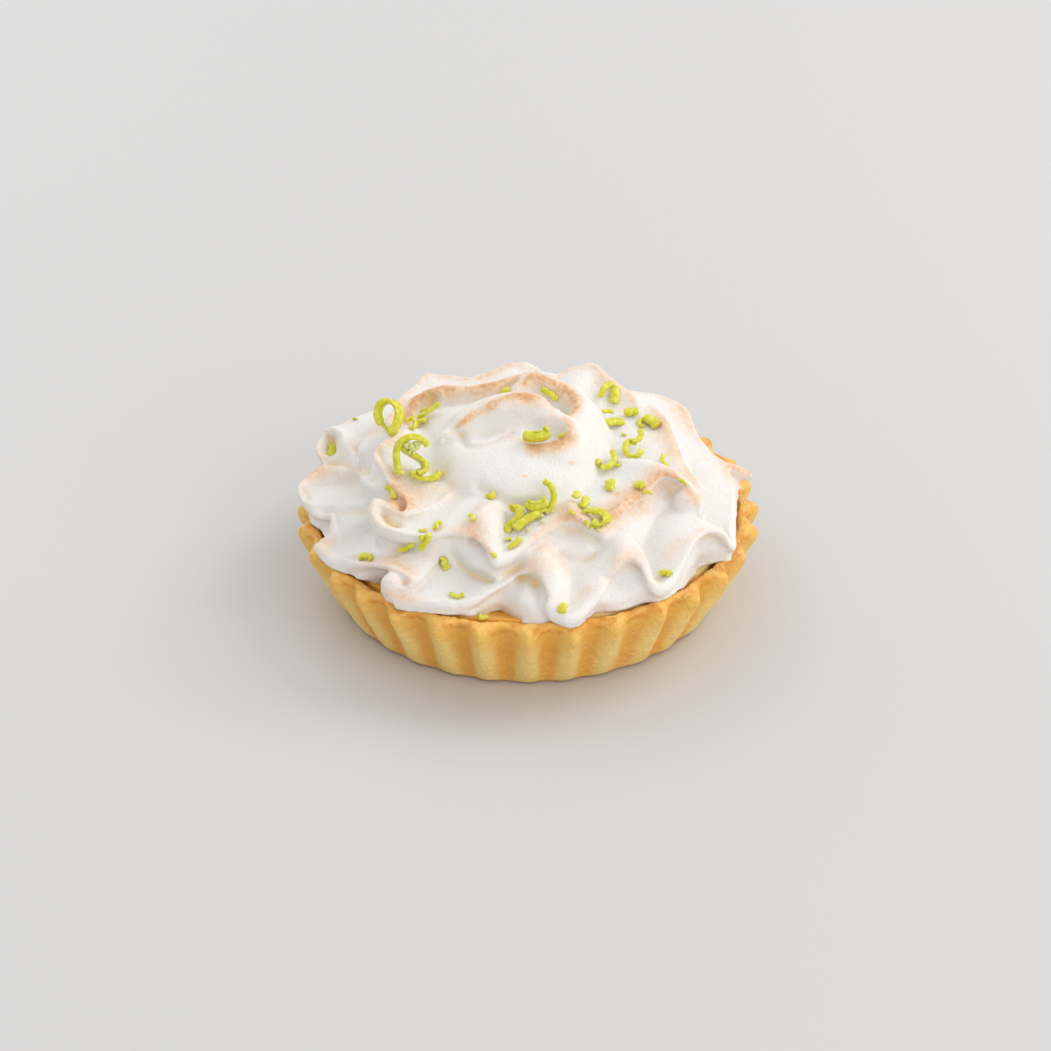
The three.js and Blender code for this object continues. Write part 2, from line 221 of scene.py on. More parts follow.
def points_of(mesh):
    return vertex_rows(mesh, "co") / MM


def move_points(mesh, points):
    mesh.vertices.foreach_set("co", (points * MM).ravel())
    mesh.update()


def store(mesh, name, values):
    attribute = mesh.attributes.new(name, "FLOAT", "POINT")
    attribute.data.foreach_set("value", np.asarray(values, np.float32))


def fractal(points, size, octaves, seed):
    """Smooth noise, about -1 to 1, with features of the given size in mm."""
    shift = Vector((seed, seed * 1.7, seed * 2.3))
    return np.array([noise.fractal(Vector(p) / size + shift, 1, 2, octaves) for p in points])

# %% [markdown]
# Each vertex of the spun wall moves out or in with its flute, and each flute differs from the next in size,
# place and height. The lumps of the dough come on top of that. Where a vertex lies on a ridge, and where the
# wall browns below the rim, is stored on the mesh for the material.

# %% Crust mesh
CRUST_STEPS = FLUTES * 16
flute_size = rng.normal(1, 0.09, FLUTES)
flute_shift = rng.normal(0, 0.05, FLUTES)
flute_lift = rng.normal(0, 0.18, FLUTES)


def between_flutes(turn, values):
    """Values of the flutes at turns from 0 to 1, blended from each flute to the next."""
    return np.interp(turn * FLUTES, np.arange(FLUTES + 1), np.append(values, values[0]))


def flute_wave(turn, sharpness):
    """Height of the fluting at a turn from 0 to 1: narrow ridges between broad hollows."""
    bend = between_flutes(turn, flute_shift)
    gap = np.sqrt(np.sin(np.pi * (turn * FLUTES + bend)) ** 2 + 0.006)
    return between_flutes(turn, flute_size) * (1.25 - 2.15 * gap ** (2 - sharpness))


def shape_crust(mesh):
    """Moves the spun wall to its flutes and lumps, and stores where it is a ridge and where it browns."""
    points = points_of(mesh)
    reach, height = np.hypot(points[:, 0], points[:, 1]), points[:, 2]
    turn = (np.arctan2(points[:, 1], points[:, 0]) / (2 * np.pi)) % 1
    share = height / RIM_HEIGHT
    apart = (reach[:, None] - profile[:, 0]) ** 2 + (height[:, None] - profile[:, 1]) ** 2
    depth = profile[np.argmin(apart, axis=1), 2]
    wave = flute_wave(turn, 0.8 * smooth_step(height, 0.3 * RIM_HEIGHT, RIM_HEIGHT))
    outside = smooth_step(reach, 0.72 * TIP_REACH, 0.79 * TIP_REACH)
    lumps = fractal(points, 5.5, 3, 1.3) * 0.2 + fractal(points, 1.5, 2, 4.1) * 0.1
    new_reach = reach + depth * wave + lumps * outside * smooth_step(share, -0.05, 0.2)
    lift = between_flutes(turn, flute_lift)
    rise = lift + fractal(points, 4.5, 3, 8.8) * 0.4 + fractal(points, 1.3, 2, 2.2) * 0.25 - 0.3
    new_height = height + smooth_step(share, 0.72, 0.98) * outside * rise
    points[:, :2] *= (new_reach / np.maximum(reach, 1e-6))[:, None]
    points[:, 2] = np.clip(new_height, 0, RIM_HEIGHT + 0.3)
    longest = np.maximum(np.hypot(points[:, 0], points[:, 1]), 1e-6)
    points[:, :2] *= np.minimum(1, (TIP_REACH - 0.05) / longest)[:, None]
    move_points(mesh, points)
    band = np.exp(-(((share - 0.91) / 0.035) ** 2))
    # The ridge value paints the ridges lighter and the hollows darker in the material, as painted highlight
    # and shade.
    store(mesh, "ridge", wave * smooth_step(depth, 0.2, 0.6))
    store(mesh, "browned", band * outside * smooth_step(wave, 0.6, -0.5))


crust = spun(profile[:, :2], CRUST_STEPS)
bmesh.ops.recalc_face_normals(crust, faces=crust.faces)
crust_mesh = mesh_of("pastry_case", crust)
shape_crust(crust_mesh)
crust_piece = add_piece("pastry_case", crust_mesh, "crust", "crust")

# %% [markdown]
# ## Custard
# Set custard fills the case to just below the rim, and only a few narrow gaps of it show, between the rim and
# the ruffles. So it is a spun disc, a little sunk in the middle and raised where it climbs the dough.

# %% Custard
# The swollen edge: mm beyond the reach of the filling and above its level. Then how far its middle has sunk.
CUSTARD_EDGE = [(0.5, 0.95), (-0.1, 1.05), (-1.2, 0.75), (-2.6, 0.15), (-5, -0.3)]
CUSTARD_SINK = 0.35
CUSTARD_STEPS = 360


def make_custard():
    outline = [(0, 0), (FILL_REACH * 0.86, 0), (FILL_REACH * 0.998, FILL_HEIGHT - 2.2)]
    outline += [(FILL_REACH + beyond, FILL_HEIGHT + above) for beyond, above in CUSTARD_EDGE]
    outline += [(FILL_REACH * share, FILL_HEIGHT - CUSTARD_SINK) for share in (0.75, 0.5, 0.25, 0)]
    bm = spun([(reach, max(height, custard_low.z)) for reach, height in outline], CUSTARD_STEPS)
    for vert in bm.verts:
        if vert.co.z > (FILL_HEIGHT - 1) * MM:
            vert.co.z += 0.12 * MM * noise.noise(vert.co / (6 * MM))
    return finish_piece("custard_filling", bm, "custard", "custard")


custard_piece = make_custard()

# %% [markdown]
# ## Meringue
# The meringue was piped as one ribbon that winds inwards and upwards, waving to and fro: a lower ruffle that
# rests on the rim, a middle one, and a crown. Each ruffle is drawn by its lip alone, as a closed curve of
# angle, reach and height. Below the lip the face is hollowed like a cave, above it the foam closes over the
# middle, and the waving fades on the way in. Resampling the lip evenly keeps the rows even too.

# %% Lips of the ruffles
# Points of each lip, counterclockwise: angle in degrees, reach and height in mm.
LOWER_LIP = [
    (5, 48.2, 23.5), (10.5, 42.8, 24.2), (18, 40.6, 24.8), (27, 41, 25.8), (35, 42.8, 27.6), (43, 41, 28.6),
    (52, 38.5, 28.5), (61, 42, 25), (72, 46, 22.8), (82, 43, 24.5), (92, 46.5, 22.6), (103, 46, 22.8),
    (112, 42, 24.6), (122, 45.8, 23), (133, 45.6, 23.4), (142, 41.5, 27), (149, 41.6, 28), (154, 43.6, 27.6),
    (160, 46.6, 26.4), (166, 46.8, 24.8), (171, 44.2, 24), (175, 46.2, 24.2), (180, 48.9, 22.8),
    (186, 47.5, 22.2), (193, 45.4, 21.8), (197, 43, 22.4), (203, 47, 21.3), (208, 48.3, 20.3),
    (216, 46.8, 20.9), (226, 44.2, 23.2), (232.5, 43.8, 24), (236.8, 44.2, 23.6), (237.6, 45.2, 22.6),
    (234.5, 46.2, 22), (231, 47, 21.6), (232.5, 48.6, 20.8), (237, 48.6, 20.8), (241.6, 47.6, 21.2),
    (247, 46.2, 21.1), (252.4, 44.4, 21), (256.4, 42.6, 21.3), (260.4, 39.6, 22), (266.1, 37, 23.6),
    (269.7, 36.7, 25), (272.3, 37.2, 25), (274, 39, 24.4), (275, 41.8, 23.4), (275.7, 44.4, 22.4),
    (277, 47, 21.5), (279.1, 48.6, 21.2), (282.8, 48, 21.4), (287.2, 45.4, 22.2), (292.8, 42.1, 23.6),
    (297.2, 40.5, 25.2), (300.4, 40.2, 26.4), (302, 41.6, 26.1), (302, 43.5, 25), (302, 45.2, 23.6),
    (303.5, 47, 22.5), (306.8, 47.4, 22.3), (312.9, 45.9, 23.5), (317.9, 44.5, 25), (322.7, 43.7, 26.3),
    (326.5, 44.4, 26.7), (329, 46, 25.8), (329.6, 48.2, 24), (332, 48.5, 22.9), (338, 46.4, 23.3),
    (346, 44.9, 24.1), (355, 43.6, 25.8), (0.5, 43, 26.8),
]
MIDDLE_LIP = [
    (18, 31.4, 33.2), (26, 31.2, 33.6), (38, 29.8, 33.8), (52, 30.4, 35), (63, 31.2, 36.6), (71, 29.5, 36),
    (80, 26.4, 34.4), (88, 28, 35.4), (96, 29.4, 36.4), (106, 28, 35.8), (116, 28, 35), (124, 32.4, 34.8),
    (130, 35, 35.2), (137, 33.6, 34.6), (148, 32, 35), (160, 30, 35.6), (172, 30, 35.8), (180, 28.6, 36),
    (185.5, 27.8, 36.1), (190, 30.4, 36.3), (193.5, 33, 36.1), (197, 33.5, 35.6), (200, 32.8, 35.1),
    (209.8, 32.9, 33.7), (218.6, 32.9, 31.9), (223.8, 34, 30.9), (219, 34.8, 30.6), (213, 35, 31.2),
    (210, 36.6, 31), (211.5, 38.6, 30.5), (216, 40.1, 29.9), (221.2, 40.7, 29.3), (226.6, 39.9, 29.1),
    (232.6, 38.4, 29.1), (238.1, 36.4, 29.5), (242.5, 34.2, 30), (247, 33.9, 30.2), (252.2, 34.1, 30),
    (255.9, 35.8, 29.4), (258.2, 37.6, 28.7), (260, 38.4, 28.3), (262.7, 37.3, 28.1), (266, 35.2, 28.2),
    (273.4, 31, 29), (280.2, 28.3, 29.7), (285.4, 27.6, 30.2), (290.7, 28.7, 30.4), (293.6, 31, 30),
    (297.3, 32.9, 29.6), (304.4, 31.4, 30.2), (315.2, 30, 31), (323.9, 30, 31.6), (330.3, 30.6, 32.8),
    (333.5, 31.5, 33.8), (334.2, 33, 33.8), (333.4, 35.8, 33.1), (332.2, 38.6, 31.9), (331.8, 40.2, 30.6),
    (334.5, 40, 30.3), (341, 37.8, 31), (351, 33.4, 31.8), (4, 31.6, 32.4),
]


def lip_curve(rows, count):
    """The lip as count evenly spaced points in mm, counterclockwise."""
    turn, reach, height = np.asarray(rows, float).T
    turn = np.radians(turn)
    points = np.stack([reach * np.cos(turn), reach * np.sin(turn), height], axis=1)
    return respace(sample_centripetal(np.vstack([points[-1:], points, points[:2]]), 30), count + 1)[:-1]


def moving_average(rows, reach):
    return sum(np.roll(rows, k, axis=0) for k in range(-reach, reach + 1)) / (2 * reach + 1)


print("points on the lips:", len(LOWER_LIP), len(MIDDLE_LIP))

# %% [markdown]
# From each point of the lip a line of the foam runs inwards. These lines must not cross, however deep the
# folds of the lip are, so they follow a potential: zero on the lip and one on an inner circle, smoothed over
# a grid until each value is the average of its neighbours. Its slope is at right angles to the lip and leads
# out of every fold.

# %% Lines of the foam
# The grid of the potential, from -HALF to HALF with its step, and its rounds of averaging.
HALF, GRID, ROUNDS = 52.0, 0.5, 1600
# Step along a line, how much longer than the straight way in a line may be, and its pull towards the middle.
TRACE_STEP, DETOUR, RADIAL_SHARE = 0.25, 1.3, 0.55


def inside_curve(x, y, curve):
    """Whether points lie inside a closed curve, by counting its crossings."""
    odd = np.zeros(x.shape, bool)
    for (ax, ay), (bx, by) in zip(curve, np.roll(curve, -1, axis=0)):
        if ay != by:
            odd ^= ((ay > y) != (by > y)) & (x < (bx - ax) * (y - ay) / (by - ay) + ax)
    return odd


def potential_slope(curve, inner_reach):
    """The slope, along x and y, of a potential that rises from a closed curve to an inner circle."""
    axis = np.arange(-HALF, HALF + GRID, GRID)
    x, y = np.meshgrid(axis, axis, indexing="ij")
    reach = np.hypot(x, y)
    free = inside_curve(x, y, curve) & (reach > inner_reach)
    guess = np.clip((50 - reach) / (50 - inner_reach), 0, 1)
    value = np.where(free, guess, np.where(reach <= inner_reach, 1.0, 0.0))
    for _ in range(ROUNDS):
        near = np.roll(value, 1, 0) + np.roll(value, -1, 0) + np.roll(value, 1, 1) + np.roll(value, -1, 1)
        value = np.where(free, near / 4, value)
    return np.gradient(value, GRID)


def at_points(field, points):
    """Bilinear values of a grid field at points (n, 2)."""
    place = np.clip((points + HALF) / GRID, 0, field.shape[0] - 1.001)
    i = place.astype(int)
    f = place - i
    a, b = i.T
    u, v = f.T
    low = field[a, b] * (1 - v) + field[a, b + 1] * v
    high = field[a + 1, b] * (1 - v) + field[a + 1, b + 1] * v
    return low * (1 - u) + high * u


def foam_lines(lip, inner_reach):
    """Plan positions (steps, columns, 2) along the lines from the lip inwards, TRACE_STEP apart."""
    slope_x, slope_y = potential_slope(lip[::2, :2], inner_reach)
    along = np.roll(lip, -2, axis=0) - np.roll(lip, 2, axis=0)
    start = np.stack([-along[:, 1], along[:, 0]], axis=1)
    start /= np.linalg.norm(start, axis=1, keepdims=True)
    heading, place = start, lip[:, :2].copy()
    lines = [place]
    for step in range(int((HALF - inner_reach) / TRACE_STEP * DETOUR)):
        gone = step * TRACE_STEP
        slope = np.stack([at_points(slope_x, place), at_points(slope_y, place)], axis=1)
        slope /= np.linalg.norm(slope, axis=1, keepdims=True) + 1e-9
        reach = np.linalg.norm(place, axis=1, keepdims=True)
        wanted = slope - RADIAL_SHARE * min(1, gone / 4) * place / reach
        # A line leaves the lip squarely, and the slope takes over in its first millimetres.
        trust = smooth_step(gone, 0.2, 1.6)
        heading = 0.5 * heading + 0.5 * ((1 - trust) * start + trust * wanted)
        heading /= np.linalg.norm(heading, axis=1, keepdims=True) + 1e-9
        place = place + heading * TRACE_STEP * (reach > inner_reach)
        lines.append(place)
    return np.array(lines)

# %% [markdown]
# The rows of a ruffle follow those lines: from its foot up the hollow face, round the edge of the lip, and
# over the top to the middle. A lobe that stands out gets a thick round edge and a dished top, and a pinch
# gets a thin edge over a deep cave. The whole ruffle rests on the rim of the case and on the custard.

# %% Ruffles
# Step along the lip, the share of its length that its calm line averages, and the rows between two given
# ones.
LIP_STEP, CALM_SHARE, BETWEEN = 0.45, 0.045, 5
# Rows on the top of a ruffle: share of the way in, waving kept in height, share of the swell.
TOP_ROWS = [(0.08, 1.1, 0.15), (0.18, 1.3, 0.4), (0.32, 1.35, 0.75), (0.5, 1.0, 1), (0.75, 0.4, 0.6)]
DISH = 0.5
# Radius of the edge in a pinch and on a lobe, and its rows as shares of it: inwards, below the lip.
EDGE_ROUND = 0.75, 1.55
EDGE_ROWS = [(0.5, 1.87), (0.13, 1.5), (0, 1), (0.13, 0.5), (0.5, 0.13), (1, 0)]
# Rows of the face from its foot up: share of the way out to the foot, way down, bulge in mm.
FACE_ROWS = [(1, 0.94, 0.1), (0.95, 0.7, 0.9), (0.68, 0.4, 1.2), (0.3, 0.15, 0.6)]
# Places where the lower ruffle stands back from the rim and custard shows: angle, width, depth.
OPENINGS = [
    (226, 6, 3.5), (262, 6, 5.5), (288, 3.5, 2.5), (329, 6, 3.2), (150, 8, 3), (50, 8, 3), (100, 8, 3),
]
# Where the rim starts, and how far the foam sinks into the rim and into the custard.
RIM_START = 0.891 * TIP_REACH - 1.6
RIM_SINK, FILL_SINK, FOOT_SINK = 0.1, 0.3, 0.25


def ruffle(lip_rows, foot, foot_reach, crown, crown_reach, swell, cave_depth, openings=()):
    """All rows of one ruffle, from its foot over the lip to its crown."""
    count = int(np.linalg.norm(np.diff(lip_curve(lip_rows, 400), axis=0), axis=1).sum() / LIP_STEP)
    lip = lip_curve(lip_rows, count)
    calm = moving_average(lip, round(count * CALM_SHARE))
    lines = foam_lines(lip, crown_reach)
    reaches = np.linalg.norm(lines, axis=2)
    length = (reaches > crown_reach + 0.01).sum(0) * TRACE_STEP
    columns = np.arange(count)

    def row(distance, height):
        place = np.clip(distance / TRACE_STEP, 0, len(lines) - 1.001)
        low = place.astype(int)
        f = (place - low)[:, None]
        flat = lines[low, columns] * (1 - f) + lines[low + 1, columns] * f
        return np.column_stack([flat, height * np.ones(count)])

    # How far the lip stands out from its calm line: above zero on a lobe and below it in a pinch.
    lip_reach = reaches[0]
    standing = moving_average(lip_reach - np.hypot(*calm[:, :2].T), 4)
    dish = DISH * smooth_step(standing, 0, 3)
    edge = EDGE_ROUND[0] + (EDGE_ROUND[1] - EDGE_ROUND[0]) * smooth_step(standing, -0.5, 2.5)
    cave = edge + cave_depth * smooth_step(-standing, -1, 3)
    turn = np.degrees(np.arctan2(calm[:, 1], calm[:, 0])) % 360
    stand = np.full(count, float(foot_reach))
    for at, width, depth in openings:
        stand -= depth * np.exp(-(((turn - at) / width) ** 2))
    outward = calm[:, :2] / np.linalg.norm(calm[:, :2], axis=1, keepdims=True)
    tuck = row(cave, 0)[:, :2]
    drop = lip[:, 2] - 2 * edge - foot

    def face_row(share, down, bulge):
        share = (share * (1 - 0.8 * smooth_step(lip_reach - foot_reach, 0, 2.5)))[:, None]
        plan = tuck * (1 - share) + outward * stand[:, None] * share + outward * bulge
        return np.column_stack([plan, foot + drop * (1 - down)])

    def edge_row(inwards, below):
        return row(edge * inwards, lip[:, 2] + 0.2 - edge * below)

    def top_row(share, waving, swelling):
        height = calm[:, 2] + (crown - calm[:, 2]) * share + (lip[:, 2] - calm[:, 2]) * waving
        height += swelling * swell - dish * math.sin(math.pi * min(share / 0.5, 1))
        return row(length * share, height)

    rows = [
        np.tile([0, 0, foot], (count, 1)), face_row(1, 1, -1.2),
        *(face_row(*values) for values in FACE_ROWS), row(cave, lip[:, 2] - 2.1 * edge),
        *(edge_row(*values) for values in EDGE_ROWS), *(top_row(*values) for values in TOP_ROWS),
        row(length, crown), np.tile([0, 0, crown], (count, 1)),
    ]
    dense = sample_rows(np.array(rows), BETWEEN)
    reach = np.hypot(dense[..., 0], dense[..., 1])
    rest = np.where(reach > RIM_START, RIM_HEIGHT - RIM_SINK, FILL_HEIGHT - FILL_SINK)
    dense[..., 2] = np.maximum(dense[..., 2], rest)
    return dense


def sample_rows(rows, per_span):
    """Smooth rows between the given ones, by Catmull-Rom across them."""
    padded = np.concatenate([rows[:1], rows, rows[-1:]])
    out = []
    for p0, p1, p2, p3 in zip(padded, padded[1:], padded[2:], padded[3:]):
        for u in np.linspace(0, 1, per_span, endpoint=False):
            out.append(
                0.5 * (2 * p1 + (p2 - p0) * u + (2 * p0 - 5 * p1 + 4 * p2 - p3) * u**2
                       + (3 * p1 - p0 - 3 * p2 + p3) * u**3)
            )
    return np.array(out + [rows[-1]])

# %% [markdown]
# The crown is where the ribbon ends: a mound with a wall of foam round its back, a last curl that leans over
# like a breaking wave, and a small pocket in front of it. Each crest is a short curve with two slopes, and
# the surface is the highest of the mound and its crests, blended softly, less a few hollows.

# %% Crown
# Each crest: x, y and z of its route in mm, then how far behind it and before it the foam has dropped by one.
# After that the powers of that drop, how far the crest leans forward, and how much the flame toasted it.
CRESTS = {
    "back wall": dict(powers=(2, 2), lean=0.2, heat=1, route=[
        (-27, 3, 34, 2.2, 1.2), (-25.4, 7, 35.6, 2.2, 1.2), (-23.4, 11.6, 37.6, 2.2, 1.1),
        (-18.6, 13, 39.1, 2.2, 1.1), (-12.4, 12.4, 39.5, 2.2, 1.1), (-6.8, 12.7, 40.4, 2.2, 1.1),
        (-1.7, 13.9, 41.7, 2.2, 1.1), (0.4, 14.2, 42, 2.2, 1.1),
    ]),
    "peak and rim of its cavity": dict(powers=(2, 2), lean=0, heat=1.05, route=[
        (-0.6, 10.8, 41.6, 2.4, 0.8), (0.9, 12.2, 43, 2.4, 0.9), (4, 10.9, 42.4, 2.6, 0.9),
        (7.4, 9, 41.8, 2.6, 0.9), (9.9, 6, 41.2, 2.6, 0.9), (10.2, 2.8, 40.4, 2.6, 0.9),
        (8.6, 0.4, 39.6, 2.6, 1),
    ]),
    "last curl": dict(powers=(4, 2), lean=1.1, heat=0.5, route=[
        (-15.2, -3.4, 38.4, 3, 1), (-13.4, -2.4, 40.3, 4, 1.2), (-10.2, -0.7, 42, 4.4, 1.4),
        (-6.3, 0.6, 43.4, 4, 1.5), (-1.8, 1.8, 44.3, 2.8, 1.5), (2.8, 2.2, 43.6, 2, 1.5),
        (5.2, 1.2, 41.6, 2, 1.4),
    ]),
    "rim of the pocket": dict(powers=(2, 2), lean=0, heat=0.45, route=[
        (-5, -4.6, 38.4, 0.9, 2.4), (-1.5, -7.8, 38.6, 0.9, 2.4), (2.7, -9.2, 38.9, 0.9, 2.4),
        (6.4, -8.8, 39.4, 0.9, 2.4), (8.7, -6.4, 40.2, 0.9, 2.4), (8, -4, 41.2, 0.9, 2.4),
        (5.8, -2.4, 41.5, 0.9, 2.4), (4, -2, 40.8, 0.9, 2.4),
    ]),
}
CREST_BLEND = 0.22
# Hollows of the crown: centre, reach and depth in mm.
CROWN_HOLLOWS = [((1.8, -5.8), 2.8, 1.6), ((6.4, 4.4), 2.6, 2), ((-8.5, -3.6), 3, 0.9)]
CROWN_CENTRE = np.array([-2.4, -0.6])
CROWN_FOOT, CROWN_SHOULDER, CROWN_TOP = 27, 29, 38.6
# Its reach, and how much further it goes at the left and behind: mm, angle and width.
CROWN_REACH = 20.8
CROWN_BULGE = 6.2, 155, 17
CROWN_COLUMNS, CROWN_STEPS = 280, 84


def crest_height(x, y, crest):
    """Height of the foam beside a crest; behind is on the left of its route."""
    line = catmull(crest["route"], 40)
    best = np.full(x.shape, np.inf)
    nearest, side = np.zeros((*x.shape, 3)), np.zeros(x.shape)
    for a, b in zip(line, line[1:]):
        d = b - a
        t = np.clip(((x - a[0]) * d[0] + (y - a[1]) * d[1]) / (d[0] ** 2 + d[1] ** 2), 0, 1)
        gap = np.hypot(x - a[0] - d[0] * t, y - a[1] - d[1] * t)
        closer = gap < best
        best = np.where(closer, gap, best)
        nearest = np.where(closer[..., None], a[2:] + d[2:] * t[..., None], nearest)
        side = np.where(closer, d[0] * (y - a[1]) - d[1] * (x - a[0]), side)
    behind = (best / nearest[..., 1]) ** crest["powers"][0]
    before = (best / nearest[..., 2]) ** crest["powers"][1]
    return nearest[..., 0] - np.where(side > 0, behind, before)


def crown_rows():
    extra, at, width = CROWN_BULGE
    turn = 360 * np.arange(CROWN_COLUMNS) / CROWN_COLUMNS
    edge = CROWN_REACH + extra * np.exp(-(((turn - at) / width) ** 2))
    shares = np.concatenate([[1, 0.985, 0.97, 0.945, 0.92, 0.89], np.linspace(0.86, 0, CROWN_STEPS)])
    share, turns = np.meshgrid(shares, np.radians(turn), indexing="ij")
    x = CROWN_CENTRE[0] + edge * share * np.cos(turns)
    y = CROWN_CENTRE[1] + edge * share * np.sin(turns)
    mound = CROWN_SHOULDER + (CROWN_TOP - CROWN_SHOULDER) * np.sqrt(1 - share**2.4)
    height, lean = mound, np.zeros(x.shape)
    for crest in CRESTS.values():
        crest_z = crest_height(x, y, crest)
        height = CREST_BLEND * np.logaddexp(height / CREST_BLEND, crest_z / CREST_BLEND)
        lean = lean + crest["lean"] * smooth_step(crest_z - mound, 0, 5)
    for (hollow_x, hollow_y), reach, depth in CROWN_HOLLOWS:
        height = height - depth * np.exp(-((x - hollow_x) ** 2 + (y - hollow_y) ** 2) / reach**2)
    rows = np.stack([x, y - lean, height], axis=-1)
    foot = rows[:1].copy()
    foot[..., 2] = CROWN_FOOT
    middle = np.broadcast_to([*CROWN_CENTRE, CROWN_FOOT], foot.shape)
    return np.concatenate([middle, foot, rows])


print("crests of the crown:", ", ".join(CRESTS))

# %% [markdown]
# The nozzle also left marks that no ruffle has: humps, creases, slits and rolled edges. Each is a stroke, a
# short route along which the foam is pushed one way, most of all on the route itself and not at all a little
# off it.

